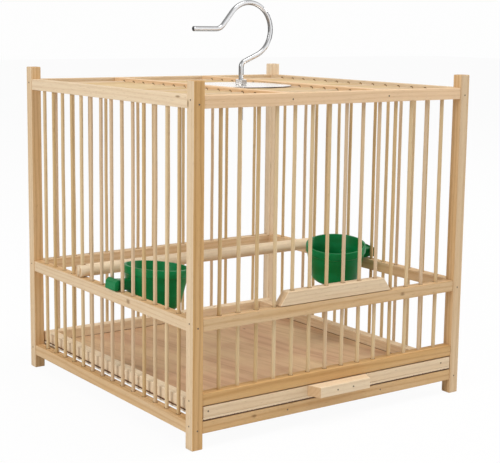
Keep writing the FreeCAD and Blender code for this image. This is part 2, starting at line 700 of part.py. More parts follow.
perch_half = f"({LINE_X} + {BAR_CORNER} + perch_overhang)"
slot_end = f"({LINE_X} - {BAR_CORNER} - perch_slot_clearance)"
slot_width = "(bar_diameter + 2 * perch_slot_clearance)"
perch_y = bar_place(SPAN_Y, PITCH_Y, "perch_bar_number")
perch_low = f"({MID_TOP} + perch_rest_gap)"
dowel = add("Part::Cylinder", "perch_dowel")
bind(dowel, Radius="perch_diameter / 2", Height=f"2 * {perch_half}")
dowel_z = f"{perch_low} + perch_diameter / 2"
place(dowel, f"-{perch_half}", perch_y, dowel_z, turned(90, "0; 1; 0"))
slot_depth = f"{perch_half} - {slot_end}"
slot_y = f"{perch_y} - {slot_width} / 2"
slots = []
for side, slot_x in (("left", f"-{perch_half}"), ("right", slot_end)):
    slot = ("perch_slot_" + side, slot_depth, slot_width, "perch_diameter", slot_x, slot_y, perch_low)
    slots.append(block(*slot))
keep(without("perch", dowel, group("perch_slots", slots)))

# Cups: a moulded bowl whose lug slips between two bars, with a head that holds it outside them


def cup_ring(body, level, radius):
    sketch = flat_sketch(body, "XY_Plane", level)
    polygon(sketch, CUP_SIDES, "-cup_reach", "0", radius)
    return sketch


def flare(body, base, radius):
    """Leans the upright faces that stand at a radius outwards, from the cup's underside on."""
    doc.recompute()
    axis = V(-worth("cup_reach"), 0, 0)
    distance = worth(radius) * math.cos(math.pi / CUP_SIDES)
    walls = []
    lowest = 0
    for number, face in enumerate(base.Shape.Faces, start=1):
        centre = face.CenterOfMass - axis
        if abs(math.hypot(centre.x, centre.y) - distance) < 0.001 and abs(face.normalAt(0, 0).z) < 0.5:
            walls.append(f"Face{number}")
        elif face.normalAt(0, 0).z < -0.5 and centre.z < lowest:
            lowest = centre.z
            under = f"Face{number}"
    lean = body.newObject("PartDesign::Draft", body.Label + "_draft")
    lean.Base = (base, walls)
    lean.NeutralPlane = (base, [under])
    lean.Reversed = True
    bind(lean, Angle=CUP_FLARE)
    body.Tip = lean
    return lean


CUP_BASE = "(cup_rim_level - cup_height)"
CUP_BAND = "(cup_rim_level - cup_rim_band)"
BOWL_HEIGHT = "(cup_height - cup_rim_band)"
BOWL_SPREAD = f"((cup_rim_radius - cup_band_step - cup_base_radius) * cos(180 / {CUP_SIDES}))"
CUP_FLARE = f"atan({BOWL_SPREAD} / {BOWL_HEIGHT})"


def slope_corner(body, base, level, size):
    """Slopes the edges of a cup that lie at a level."""
    doc.recompute()
    height = worth(level)
    edges = []
    for number, edge in enumerate(base.Shape.Edges, start=1):
        if max(abs(edge.BoundBox.ZMin - height), abs(edge.BoundBox.ZMax - height)) < 0.001:
            edges.append(f"Edge{number}")
    corner = body.newObject("PartDesign::Chamfer", body.Label + "_corner")
    corner.Base = (base, edges)
    bind(corner, Size=size)
    body.Tip = corner


def bowl(body, level, radius, height, corner):
    """A form that widens upwards from a sloped corner round its base."""
    upright = feature(body, "Pad", cup_ring(body, level, radius), Length=height)
    slope_corner(body, flare(body, upright, radius), level, corner)


def cup(label, gap_number, droop, roll, sign):
    body = add("PartDesign::Body", label + "_outside")
    bowl(body, CUP_BASE, "cup_base_radius", BOWL_HEIGHT, "cup_corner")
    feature(body, "Pad", cup_ring(body, CUP_BAND, "cup_rim_radius"), Length="cup_rim_band")

    head_inner = f"({BAR_CORNER} + cup_hang_gap)"
    neck_sketch = flat_sketch(body, "YZ_Plane", "-cup_reach")
    rectangle(neck_sketch, "-cup_neck_width / 2", "0", "cup_neck_width / 2", "cup_neck_height")
    feature(body, "Pad", neck_sketch, Length=f"cup_reach + {head_inner}")
    head_outer = f"({head_inner} + cup_head_thickness)"
    head_sketch = flat_sketch(body, "XZ_Plane", "-cup_head_width / 2")
    head_profile = (
        (head_inner, "0"),
        (head_outer, "0"),
        (head_outer, "cup_head_height - cup_head_slope"),
        (f"{head_outer} - cup_head_slope", "cup_head_height"),
        (head_inner, "cup_head_height"),
    )
    outline(head_sketch, head_profile)
    feature(body, "Pad", head_sketch, Length="cup_head_width")

    # The core's slope is as much smaller as keeps one thickness of wall beside the slope outside.
    core = add("PartDesign::Body", label + "_core")
    core_corner = "cup_corner - (2 - sqrt(2)) * cup_wall"
    bowl(core, f"({CUP_BASE} + cup_wall)", "(cup_base_radius - cup_wall)", "cup_height", core_corner)

    # The lug rests on the mid rail, raised by what its tilt lowers at the head and the neck,
    # and hangs out by what the tilt brings the head's top towards the bars.
    tilt = f"cup_head_width / 2 * sin({roll}) + rail_depth / 2 * sin({droop})"
    seat = f"({MID_TOP} + cup_rest_gap + {tilt})"
    hang = f"({LINE_X} + cup_head_height * sin({droop}))"
    outwards = turned(180 if sign == "-" else 0)
    inwards_tip = turned(droop, "0; -1; 0")
    front_tip = turned(roll, "1; 0; 0")
    cup_y = bar_place(SPAN_Y, PITCH_Y, f"{gap_number} + 0.5")
    for form in (body, core):
        place(form, sign + hang, cup_y, seat, f"{front_tip} * {outwards} * {inwards_tip}")
    return keep(without(label, body, core))


cup("seed_cup", "left_cup_gap_number", "left_cup_droop", "left_cup_roll", "-")
cup("water_cup", "right_cup_gap_number", "right_cup_droop", "right_cup_roll", "")

# Checks, then one file for each piece

doc.removeObject(reader.Name)
doc.recompute()
for thing in doc.Objects:
    if {"Invalid", "Error"} & set(thing.State):
        raise RuntimeError(f"{thing.Label} failed: {thing.State}")
for body, before, after in cuts:
    if after.Shape.Volume > before.Shape.Volume - 1e-6:
        raise RuntimeError(f"{body.Label}: a cut takes nothing away")
for piece in pieces:
    if piece.Shape.isNull() or not piece.Shape.isValid():
        raise RuntimeError(f"{piece.Label} has no valid shape")

os.makedirs("parts", exist_ok=True)
for piece in pieces:
    piece.Shape.exportStep(f"parts/{piece.Label}.step")
print(len(pieces), "pieces", sum(len(piece.Shape.Solids) for piece in pieces), "solids")
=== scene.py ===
# %% [markdown]
# # A small wooden bird cage
#
# The cage is planed softwood, thin round sticks, a sheet of plywood, bent bright wire and two moulded cups.
# The solids of every piece are loaded first and stay the measure of the work: each piece below keeps to the box
# of the solid that it stands for, to a fifth of a millimetre, so the moving pieces still fit.

# %% Load the solids
import json
import math
import random

import bmesh
import bpy
from mathutils import Matrix, Vector, noise


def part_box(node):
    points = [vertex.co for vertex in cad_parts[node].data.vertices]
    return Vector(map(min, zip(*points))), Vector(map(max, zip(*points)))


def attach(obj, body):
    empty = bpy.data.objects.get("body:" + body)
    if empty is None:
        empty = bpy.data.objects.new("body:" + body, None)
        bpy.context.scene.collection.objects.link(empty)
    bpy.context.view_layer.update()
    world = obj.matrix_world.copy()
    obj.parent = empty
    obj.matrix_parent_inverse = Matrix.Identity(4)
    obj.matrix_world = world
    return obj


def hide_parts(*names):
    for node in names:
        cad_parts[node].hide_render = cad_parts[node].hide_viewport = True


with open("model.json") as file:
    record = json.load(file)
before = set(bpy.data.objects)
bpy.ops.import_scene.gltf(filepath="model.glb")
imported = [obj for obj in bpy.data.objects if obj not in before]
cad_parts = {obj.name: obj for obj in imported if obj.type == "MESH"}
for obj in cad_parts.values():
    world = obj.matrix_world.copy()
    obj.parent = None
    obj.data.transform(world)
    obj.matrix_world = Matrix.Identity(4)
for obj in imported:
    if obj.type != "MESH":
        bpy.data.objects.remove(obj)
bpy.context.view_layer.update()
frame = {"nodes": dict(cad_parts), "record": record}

scene = bpy.context.scene
MM = 0.001
X, Y, Z = range(3)

# %% [markdown]
# ## The camera
#
# The lines of the posts and rails in the picture give the place of the lens: to the left of the front, a little
# above the roof, so that the roof is seen almost edge on. A long lens keeps the posts nearly upright. The lens
# could simply be aimed at the cage, but the picture was cut from a larger one, so its middle isn't the lens's
# middle. The fitted angles are kept instead, and a small shift moves the frame.

# %% Place the camera
PICTURE = (500, 463)
FOCAL_PIXELS = 1212.4
LENS_MIDDLE = (240, 215)
SENSOR_WIDTH = 36
LENS_PLACE = Vector((-452.86, -643.08, 236.2)) * MM
AZIMUTH, ELEVATION, ROLL = (math.radians(angle) for angle in (-35.179, 9.065, 0.663))


def hold(name, data):
    """An object in the scene that holds a mesh, a lamp or a camera."""
    holder = bpy.data.objects.new(name, data)
    scene.collection.objects.link(holder)
    return holder


camera = hold("camera", bpy.data.cameras.new("camera"))
camera.data.sensor_width = SENSOR_WIDTH
camera.data.lens = FOCAL_PIXELS / PICTURE[0] * SENSOR_WIDTH
camera.data.shift_x = (PICTURE[0] / 2 - LENS_MIDDLE[0]) / PICTURE[0]
camera.data.shift_y = (LENS_MIDDLE[1] - PICTURE[1] / 2) / PICTURE[0]
camera.data.clip_start = 0.01
level = Vector((math.cos(AZIMUTH), math.sin(AZIMUTH), 0))
ahead = Vector((-math.sin(AZIMUTH), math.cos(AZIMUTH), 0))
back = Vector((0, 0, math.sin(ELEVATION))) - ahead * math.cos(ELEVATION)
upright = back.cross(level)
right = level * math.cos(ROLL) + upright * math.sin(ROLL)
up = upright * math.cos(ROLL) - level * math.sin(ROLL)
camera.matrix_world = Matrix.Translation(LENS_PLACE) @ Matrix((right, up, back)).transposed().to_4x4()
scene.camera = camera
print("lens", round(camera.data.lens, 1), "mm, shifted sideways by", round(camera.data.shift_x, 3))

# %% [markdown]
# ## Arithmetic on nodes
#
# Finishes and repeated shapes are both trees of small nodes. They could be drawn by hand in the node editor, but
# a formula is easier to read than a picture of wires. `Signal` stands for one output of a node, so that `1 - mask`
# adds its Math node by itself, and `Tree.add` makes any other node.

# %% One output of a node
def maths(operation, reflected=False):
    """A method that adds one Math node. In a reflected one, as for 1 - mask, the signal comes last."""
    def method(self, *others):
        terms = (*others, self) if reflected else (self, *others)
        return self.tree.add("ShaderNodeMath", {"operation": operation}, dict(enumerate(terms)))
    return method


class Signal:
    """One output of a node tree that can be used in Python arithmetic."""

    def __init__(self, tree, socket):
        self.tree = tree
        self.socket = socket

    __add__ = __radd__ = maths("ADD")
    __mul__ = __rmul__ = maths("MULTIPLY")
    __sub__, __rsub__ = maths("SUBTRACT"), maths("SUBTRACT", reflected=True)
    __truediv__, __rtruediv__ = maths("DIVIDE"), maths("DIVIDE", reflected=True)
    __pow__, __rpow__ = maths("POWER"), maths("POWER", reflected=True)
    sine, most = maths("SINE"), maths("MAXIMUM")

    def between(self, low, high):
        """0 below the first bound, 1 above the second and a smooth rise in between."""
        bounds = {"Value": self, "From Min": low, "From Max": high}
        return self.tree.add("ShaderNodeMapRange", {"interpolation_type": "SMOOTHSTEP"}, bounds)


print("signals can be added, multiplied and raised to a power")

# %% A tree of nodes
class Tree:
    """A node tree that is filled by one method."""

    def __init__(self, tree):
        self.tree = tree

    def add(self, kind, settings=None, inputs=None, output=0):
        """Makes a node: its settings first, then its inputs. Several outputs give a list of signals."""
        node = self.tree.nodes.new(kind)
        for name, setting in (settings or {}).items():
            setattr(node, name, setting)
        for name, value in (inputs or {}).items():
            self.feed(node.inputs[name], value)
        if isinstance(output, (tuple, range)):
            return [Signal(self, node.outputs[name]) for name in output]
        return Signal(self, node.outputs[output]) if node.outputs else node

    def feed(self, socket, value):
        if isinstance(value, Signal):
            self.tree.links.new(value.socket, socket)
        elif socket.type == "RGBA" and len(value) == 3:
            socket.default_value = (*value, 1)
        else:
            socket.default_value = value

    def paint(self, colour, *coats):
        """A colour under coats of other colours, each with the mask that says where it covers."""
        for mask, coat in coats:
            inputs = {0: mask, 6: colour, 7: coat}
            colour = self.add("ShaderNodeMix", {"data_type": "RGBA"}, inputs, output=2)
        return colour

    def vector(self, operation, first, second):
        return self.add("ShaderNodeVectorMath", {"operation": operation}, {0: first, 1: second})

    def triple(self, *parts):
        return self.add("ShaderNodeCombineXYZ", None, dict(enumerate(parts)))

    def split(self, vector):
        return self.add("ShaderNodeSeparateXYZ", None, {0: vector}, output=range(3))

    def mottle(self, vector, scale, detail=2.0):
        """Cloudy noise, with one scale for every way or with a scale for each way."""
        if isinstance(scale, tuple):
            vector, scale = self.vector("MULTIPLY", vector, scale), 1.0
        return self.add("ShaderNodeTexNoise", None, {"Vector": vector, "Scale": scale, "Detail": detail})


print("node trees are ready")

# %% [markdown]
# ## Light, floor and backdrop
#
# The cage stands in a white tent: soft light from all round, a large lamp on the left that makes the left faces
# creamy, one above, and a smaller one on the right that lights the right edges of the sticks. Strong lamps on a
# white wall would give a white picture too, but they would bleach the wood. So the camera sees the world and
# the floor as white, and they light the wood no more than a plain grey room would. The floor keeps the shadow.

# %% White tent
scene.view_settings.view_transform = "Standard"
ROOM_LIGHT = 0.39
PAPER_WHITE = 0.988
WHITE = (1, 1, 1)


def seen_directly(tree):
    """1 for the camera and for reflections and glass, 0 for the light that falls on the wood."""
    rays = ("Is Camera Ray", "Is Glossy Ray", "Is Transmission Ray")
    camera_ray, glossy_ray, glass_ray = tree.add("ShaderNodeLightPath", output=rays)
    return camera_ray.most(glossy_ray).most(glass_ray)


world = bpy.data.worlds.new("white_tent")
scene.world = world
world.use_nodes = True
tent = Tree(world.node_tree)
tent_cloth = world.node_tree.nodes["Background"].inputs
tent.feed(tent_cloth["Color"], WHITE)
tent.feed(tent_cloth["Strength"], seen_directly(tent) * (PAPER_WHITE - ROOM_LIGHT) + ROOM_LIGHT)
print("room light", ROOM_LIGHT)

# %% White floor
HALF_FLOOR = 6.0
PAPER_GREY = (0.82, 0.82, 0.82)
PAPER_GLOW = 0.95


def bare_finish(name):
    """A material without nodes, and its tree."""
    material = bpy.data.materials.new(name)
    material.use_nodes = True
    material.node_tree.nodes.clear()
    return material, Tree(material.node_tree)


def flat_sheet(name, corners, material):
    """A sheet of paper or card between four corners."""
    mesh = bpy.data.meshes.new(name)
    mesh.from_pydata(corners, [], [(0, 1, 2, 3)])
    mesh.materials.append(material)
    return hold(name, mesh)


paper, fill = bare_finish("white_paper")
paper_lit = fill.add("ShaderNodeBsdfDiffuse", None, {"Color": PAPER_GREY})
paper_glow = fill.add("ShaderNodeEmission", None, {"Color": WHITE, "Strength": 1.0})
paper_share = seen_directly(fill) * PAPER_GLOW
paper_mix = fill.add("ShaderNodeMixShader", None, {0: paper_share, 1: paper_lit, 2: paper_glow})
fill.add("ShaderNodeOutputMaterial", None, {"Surface": paper_mix})
floor_corners = [(x * HALF_FLOOR, y * HALF_FLOOR, 0) for x, y in ((-1, -1), (1, -1), (1, 1), (-1, 1))]
floor = flat_sheet("floor", floor_corners, paper)
print("floor", 2 * HALF_FLOOR, "m wide")

# %% Soft lamps
MIDDLE = Vector((0, 0, 0.1))
# Place and size in metres, power in watts.
LAMPS = {
    "left_lamp": ((-1.6, -0.3, 0.85), 0.8, 13.5),
    "top_lamp": ((0.1, -0.4, 1.75), 1.0, 13),
    "right_lamp": ((1.58, -0.33, 0.6), 0.6, 16),
}
for name, (place, size, power) in LAMPS.items():
    lamp = hold(name, bpy.data.lights.new(name, "AREA"))
    lamp.data.shape = "DISK"
    lamp.data.size = size
    lamp.data.energy = power
    lamp.location = place
    lamp.rotation_euler = (MIDDLE - Vector(place)).to_track_quat("-Z", "Y").to_euler()
print("soft lamps:", list(LAMPS))

# %% [markdown]
# ## Dark cards
#
# Bright wire in a white tent would vanish: it only shows what stands round it. Its edges could be painted dark,
# but a painted edge doesn't turn with the wire. A photographer puts dark cards beside the picture, and their
# reflections draw the wire; its flanks are painted dark as well, as painted reflection. The cards here stand
# just outside the view, and only reflections see them, so they take no light from the wood.

# %% Cards beside the view
CARD_GREY = 0.14
CARD_HEIGHT = 0.7
# Angle in degrees from the middle of the view and distance in metres from the cage, for each card's two ends.
CARDS = {
    "right_card": ((22, 2.2), (98, 1.5)),
    "left_card": ((-22, 2.2), (-95, 1.6)),
}


def beside(angle, away, height):
    """A point at an angle from the middle of the view, as seen from the cage."""
    turned_away = ahead * math.cos(math.radians(angle)) + level * math.sin(math.radians(angle))
    return turned_away * away + Vector((0, 0, height))


card_finish, felt = bare_finish("dark_card")
felt_grey = felt.add("ShaderNodeEmission", None, {"Color": WHITE, "Strength": CARD_GREY})
felt.add("ShaderNodeOutputMaterial", None, {"Surface": felt_grey})
for name, (near, far) in CARDS.items():
    corners = (beside(*near, 0), beside(*far, 0), beside(*far, CARD_HEIGHT), beside(*near, CARD_HEIGHT))
    card = flat_sheet(name, corners, card_finish)
    card.visible_camera = card.visible_diffuse = card.visible_shadow = card.visible_transmission = False
print("dark cards:", len(CARDS))

# %% [markdown]
# ## Wood
#
# Growth rings are circles round the heart of the tree, far outside these thin strips, so a strip shows them as
# nearly straight lines along its faces and as bows on its ends. A picture of wood could be wrapped round each
# strip, but it would stretch and repeat. Here each strip carries an attribute, `grain`, with its own length as the
# first number and its distance from the heart in the other two, so one finish runs along every strip, whichever
# way it lies. A second attribute, `tone`, goes from cream below 0 over pale to deep at 1. On a left face it is
# also painted light and shade: paler where the left lamp falls, deeper where the face lies in shade.

# %% A finish
class Finish(Tree):
    """A material whose surface values are set by name."""

    def __init__(self, name):
        self.material = bpy.data.materials.new(name)
        self.material.use_nodes = True
        super().__init__(self.material.node_tree)
        self.surface = self.tree.nodes["Principled BSDF"]

    def set(self, **values):
        for name, value in values.items():
            self.feed(self.surface.inputs[name.replace("_", " ")], value)

    def attribute(self, name, output="Fac"):
        return self.add("ShaderNodeAttribute", {"attribute_name": name}, output=output)

    def place(self):
        return self.add("ShaderNodeTexCoord", output="Object")

    def spot(self, place, centre, reach, ragged):
        """1 in the middle of a flattened spot and 0 outside it, with a ragged edge."""
        away = self.vector("ADD", place, tuple(-part * MM for part in centre))
        away = self.vector("MULTIPLY", away, tuple(1 / (part * MM) for part in reach))
        away = self.add("ShaderNodeVectorMath", {"operation": "LENGTH"}, {0: away}, output="Value")
        return 1 - (away + ragged).between(0.2, 1.0)

    def bump(self, height, strength, distance):
        values = {"Height": height, "Strength": strength, "Distance": distance}
        self.set(Normal=self.add("ShaderNodeBump", None, values))


print("finishes can be made")

# %% Planed wood
RING_WIDTH = 2.3 * MM
RING_WANDER = 5 * MM
# A growth line is darker than the deep wood, and more so in green and blue.
LINE_SHARES = Vector((0.72, 0.62, 0.50))


def wood(name, cream, pale, deep, contrast=0.6, knots=()):
    """A finish of three tones with growth lines, fibres, pores, dark ends and knots."""
    finish = Finish(name)
    grain = finish.attribute("grain", "Vector")
    tone = finish.attribute("tone")
    depth = tone.most(0.0)
    across, inwards = finish.split(grain)[1:]
    wander = finish.mottle(grain, (7, 70, 70)) - 0.5
    heart = (across * across + inwards * inwards) ** 0.5 + wander * RING_WANDER
    rings = ((heart * (math.tau / RING_WIDTH)).sine() * 0.5 + 0.5) ** 3
    cloud = finish.mottle(grain, (11, 160, 160))
    fibre = finish.mottle(grain, (90, 4200, 4200), 3.0)
    pore = finish.mottle(grain, (260, 3000, 3000), 1.0).between(0.63, 0.76)
    line = Vector(deep) * LINE_SHARES
    streaks = rings * contrast * (depth * 0.65 + 0.27) + (fibre - 0.5).most(0.0) * (depth * 0.9 + 0.8)
    colour = finish.paint(
        pale,
        (depth + (cloud - 0.5) * 0.9, deep),
        ((0 - tone).most(0.0), cream),
        (streaks, line),
        (pore * 0.3, line * 0.6),
        (finish.attribute("end") * 0.5, line),
    )
    for centre, reach in knots:
        knot = finish.spot(finish.place(), centre, reach, (fibre - 0.5) * 1.2)
        colour = finish.paint(colour, (knot * 0.75, line * 0.45))
    finish.set(Base_Color=colour, Roughness=fibre * 0.16 + 0.54, Specular_IOR_Level=0.25)
    finish.bump(fibre * 0.6 + rings * 0.3, 0.35, 0.12 * MM)
    return finish.material


print("growth rings every", RING_WIDTH / MM, "mm")

# %% Three woods
# Knots and torn spots of the strips: place and reach in millimetres.
KNOTS = (
    ((-102.3, -86.0, 195.7), (2.0, 3.4, 0.9)),
    ((-102.3, -31.5, 71.5), (2.0, 3.4, 2.0)),
    ((-102.5, -96.5, 192.5), (2.0, 1.2, 3.0)),
    ((-60.0, -102.3, 13.0), (2.6, 2.0, 1.4)),
    ((52.0, -102.3, 71.0), (2.6, 2.0, 1.6)),
)
pale_wood = wood("pale_wood", (0.86, 0.70, 0.50), (0.73, 0.565, 0.375), (0.64, 0.385, 0.155), knots=KNOTS)
warm_wood = wood("warm_wood", (0.86, 0.64, 0.42), (0.83, 0.575, 0.345), (0.68, 0.40, 0.18), knots=KNOTS)
tray_wood = wood("tray_wood", (0.88, 0.74, 0.55), (0.82, 0.66, 0.46), (0.68, 0.47, 0.27), contrast=0.4)
print("wood finishes:", pale_wood.name, warm_wood.name, tray_wood.name)

# %% [markdown]
# ## Planed strips: posts and rails
#
# A strip could stay a plain block, but a sharp edge catches no light. Real strips come from a planer: their
# edges are eased by sandpaper and their faces aren't quite flat. A block is therefore bevelled, cut across in
# many places and pushed about by less than the thickness of paper. Every finished mesh is then put in place of
# its solid, on the same moving body.

# %% Finished meshes
pieces = []
record = frame["record"]
body_of = {node: body for body, nodes in record["behaviour"]["bodies"].items() for node in nodes}


def mesh_of(form, name):
    """A mesh with its faces turned outwards."""
    mesh = bpy.data.meshes.new(name)
    bmesh.ops.recalc_face_normals(form, faces=form.faces)
    form.to_mesh(mesh)
    form.free()
    return mesh


def shade(mesh, is_round):
    """Shades the faces round for which a rule holds."""
    mesh.polygons.foreach_set("use_smooth", [is_round(face) for face in mesh.polygons])


def note(mesh, name, values, domain="FACE", kind="FLOAT"):
    """Stores values on the faces or points of a mesh, for its finish to read."""
    field = "vector" if kind == "FLOAT_VECTOR" else "value"
    mesh.attributes.new(name, kind, domain).data.foreach_set(field, values)


def settle(name, mesh, node, finish=None, instead=True):
    """Puts a finished mesh on the body of a solid, and in its place unless told otherwise."""
    if finish:
        mesh.materials.clear()
        mesh.materials.append(finish)
    piece = hold(name, mesh)
    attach(piece, body_of[node])
    if instead:
        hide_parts(node)
    pieces.append(name)


print("bodies to dress:", sorted(set(body_of.values())))

# %% A planed block
CUT_EVERY = 12 * MM
WAVES_PER_METRE = 26
# Without a seed the noise starts from the clock, and every run would plane other strips.
noise.seed_set(1)


def plane_block(low, high, ease, seed, waves=0.07 * MM, slant=None):
    """A block with eased edges, gently uneven along its length, and slanted ends if asked.

    A slant names the face that is shorter, by its axis and side, and by how much at each end.
    """
    size = high - low
    along = max(range(3), key=lambda axis: size[axis])
    form = bmesh.new()
    bmesh.ops.create_cube(form, size=1)
    middle = (low + high) / 2
    across, side, amount = slant or (along, 0, 0)
    for corner in form.verts:
        corner.co = Vector(middle[axis] + corner.co[axis] * size[axis] for axis in range(3))
        if (corner.co[across] - middle[across]) * side > 0:
            corner.co[along] -= math.copysign(amount, corner.co[along] - middle[along])
    bmesh.ops.bevel(form, geom=form.edges[:], offset=ease, segments=2, profile=0.6, affect="EDGES")
    cuts = max(3, int(size[along] / CUT_EVERY))
    normal = Vector((0, 0, 0))
    normal[along] = 1
    for number in range(1, cuts):
        place = low + normal * (size[along] * number / cuts)
        everything = form.verts[:] + form.edges[:] + form.faces[:]
        bmesh.ops.bisect_plane(form, geom=everything, plane_co=place, plane_no=normal)
    for corner in form.verts:
        sample = corner.co * WAVES_PER_METRE + Vector((seed * 3.7, seed * 1.3, 0))
        pushed = corner.co + noise.noise_vector(sample) * waves
        pushed[along] = corner.co[along]
        corner.co = Vector(min(max(pushed[axis], low[axis]), high[axis]) for axis in range(3))
    return form, along, middle


print("planed in steps of about", CUT_EVERY / MM, "mm")

# %% Grain of a piece
HEART_NEAR, HEART_FAR = 7, 24
LONGEST_SHIFT = 3


def give_grain(mesh, along, middle, seed, tones_and_left_light):
    """Stores where each point lies in its own piece of wood, and how deep its colour is, the left face's as painted
    light.
    """
    chance = random.Random(seed)
    others = [axis for axis in range(3) if axis != along]
    heart = [chance.choice((-1, 1)) * chance.uniform(HEART_NEAR, HEART_FAR) * MM for axis in others]
    shift = chance.uniform(0, LONGEST_SHIFT)
    grain = []
    for point in mesh.vertices:
        grain.append(point.co[along] + shift)
        grain.extend(point.co[axis] - middle[axis] + heart[i] for i, axis in enumerate(others))
    note(mesh, "grain", grain, "POINT", "FLOAT_VECTOR")
    # The left face's depth is painted light and shade as well as the wood's own tone.
    other, left = tones_and_left_light
    note(mesh, "tone", [left if face.normal.x < -0.6 else other for face in mesh.polygons])
    note(mesh, "end", [1.0 if abs(face.normal[along]) > 0.8 else 0.0 for face in mesh.polygons])


print("hearts", HEART_NEAR, "to", HEART_FAR, "mm away on each side")

# %% [markdown]
# ## The drilled front rail
#
# The door's sticks slide through the front top rail, so it is drilled right through, a little wider than they
# are. Holes could be faked with dark discs, but here light falls in and the sticks move. A Boolean modifier takes
# six cylinders away from the strip. It would lose what is stored on the points, so the grain is given afterwards.

# %% Take a form away
WELD_REACH = 0.001 * MM


def plain_mesh(holder):
    """The mesh of an object as its modifiers leave it."""
    return bpy.data.meshes.new_from_object(holder.evaluated_get(bpy.context.evaluated_depsgraph_get()))


def weld(mesh):
    """Merges corners that a cut or a bevel left on top of each other."""
    form = bmesh.new()
    form.from_mesh(mesh)
    bmesh.ops.remove_doubles(form, verts=form.verts, dist=WELD_REACH)
    form.to_mesh(mesh)
    form.free()


def cut(mesh, tool_form):
    """A mesh with a form taken away from it."""
    work, tool = hold("work", mesh), hold("tool", mesh_of(tool_form, "tool"))
    work.modifiers.new("cut", "BOOLEAN").object = tool
    result = plain_mesh(work)
    for holder in (work, tool):
        bpy.data.objects.remove(holder)
    weld(result)
    return result


print("corners closer than", WELD_REACH / MM, "mm are merged")

# %% Drills for the door's sticks
SIDE_STICKS = 14
DOOR_STICKS = 6
HOLE_RADIUS = 1.5 * MM
DRILL_LENGTH = 12 * MM
rail_low, rail_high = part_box("top_rail_front")
rail_middle = (rail_low + rail_high) / 2
SPAN = rail_high.x - rail_low.x
PITCH = SPAN / (SIDE_STICKS + 1)


def row_places(count):
    """Where the sticks of a row stand, from the row's middle."""
    return [(number - (count - 1) / 2) * PITCH for number in range(count)]


drills = bmesh.new()
for offset in row_places(DOOR_STICKS):
    bmesh.ops.create_cone(
        drills, cap_ends=True, segments=20, radius1=HOLE_RADIUS, radius2=HOLE_RADIUS, depth=DRILL_LENGTH,
        matrix=Matrix.Translation(rail_middle + Vector((offset, 0, 0))),
    )
print("drills:", DOOR_STICKS, "at", round(PITCH / MM, 2), "mm")

# %% Plane the strips
# A face smaller than this, in square metres, is part of an eased edge.
EASED_FACE = 4e-6
# Depth of colour of each strip, from pale to deep: all its faces but the left one, then the left one. The left
# one's value is painted light and shade as well as tone: paler where the left lamp falls, deeper in shade.
STRIP_TONES_AND_LEFT_LIGHT = {
    "post_front_left": (0.95, 0.02), "post_front_right": (0.25, 0.6),
    "post_rear_left": (0.6, 0.1), "post_rear_right": (-0.4, -0.9),
    "top_rail_front": (-0.25, 0.2), "top_rail_rear": (0.2, 0.3),
    "top_rail_left": (-0.05, -0.4), "top_rail_right": (0.1, 0.05),
    "roof_cross_rail_left": (0.0, 0.3), "roof_cross_rail_right": (0.0, 0.25),
    "mid_rail_front": (0.55, 0.4), "mid_rail_rear": (0.25, 0.2),
    "mid_rail_left": (0.6, 0.12), "mid_rail_right": (0.5, 0.3),
    "bottom_rail_front": (0.7, 0.6), "bottom_rail_rear": (0.1, 0.3),
    "bottom_rail_left": (0.7, 0.55), "bottom_rail_right": (0.6, 0.2),
    "tray_lintel_rail": (0.95, 0.7), "tray_runner_left": (0.5, 0.5), "tray_runner_right": (0.6, 0.6),
}
WARM_STRIPS = ("top_rail_front", "roof_cross_rail_left", "roof_cross_rail_right")


def strip(node, finish, tones_and_left_light, seed, ease=0.45 * MM, slant=None, shaved=0.0, drilled=None):
    """A planed strip in place of a solid, its top shaved off by a hair or drilled if asked."""
    low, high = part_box(node)
    high.z -= shaved
    form, along, middle = plane_block(low, high, ease, seed, slant=slant)
    mesh = mesh_of(form, node + "_strip")
    shade(mesh, lambda face: face.area < EASED_FACE)
    if drilled:
        mesh = cut(mesh, drilled)
    give_grain(mesh, along, middle, seed, tones_and_left_light)
    settle(node + "_strip", mesh, node, finish)


for seed, (node, tones_and_left_light) in enumerate(STRIP_TONES_AND_LEFT_LIGHT.items(), start=1):
    finish = warm_wood if node in WARM_STRIPS else pale_wood
    strip(node, finish, tones_and_left_light, seed, drilled=drills if node == "top_rail_front" else None)
strip("door_block", tray_wood, (0.35, 0.1), 41, slant=(Z, 1, 5.8 * MM))
print("strips:", len(pieces))

# %% [markdown]
# ## Round sticks
#
# The sides, the roof and the door are rows of thin round sticks, split from bamboo. Seventy-six cylinders could be
# copied one by one, but a row follows a rule, so Geometry Nodes make it from its count, spacing, length and
# thickness. Each stick is a line that a little noise bows, swept with a circle. The rows keep the solids' own
# spacing, and the door's sticks stay straighter, because they slide in holes.

# %% The finish of the sticks
PALE_STICK, DEEP_STICK, DARK_STICK = (0.70, 0.53, 0.31), (0.55, 0.36, 0.155), (0.34, 0.19, 0.075)
PINK_STICK = (0.66, 0.49, 0.325)
bamboo = Finish("bamboo_stick")
stick_grain = bamboo.attribute("grain", "Vector")
stick_tone = bamboo.attribute("tone")
stick_hue = bamboo.attribute("hue")
stick_fibre = bamboo.mottle(stick_grain, (60, 3600, 3600), 3.0)
stick_cloud = bamboo.mottle(stick_grain, (30, 200, 200))
stick_speck = bamboo.mottle(stick_grain, (160, 900, 900))
stick_colour = bamboo.paint(
    PALE_STICK,
    (stick_tone * 0.85 + (stick_cloud - 0.5) * 0.5, DEEP_STICK),
    (stick_hue.between(0.66, 0.9) * 0.8, PINK_STICK),
    (stick_fibre.between(0.52, 0.78) * 0.35, DARK_STICK),
    (stick_speck.between(0.70, 0.78) * 0.6, DARK_STICK),
)
bamboo.set(Base_Color=stick_colour, Roughness=stick_fibre * 0.2 + 0.42, Specular_IOR_Level=0.4)
bamboo.bump(stick_fibre, 0.3, 0.08 * MM)
print("finish:", bamboo.material.name)

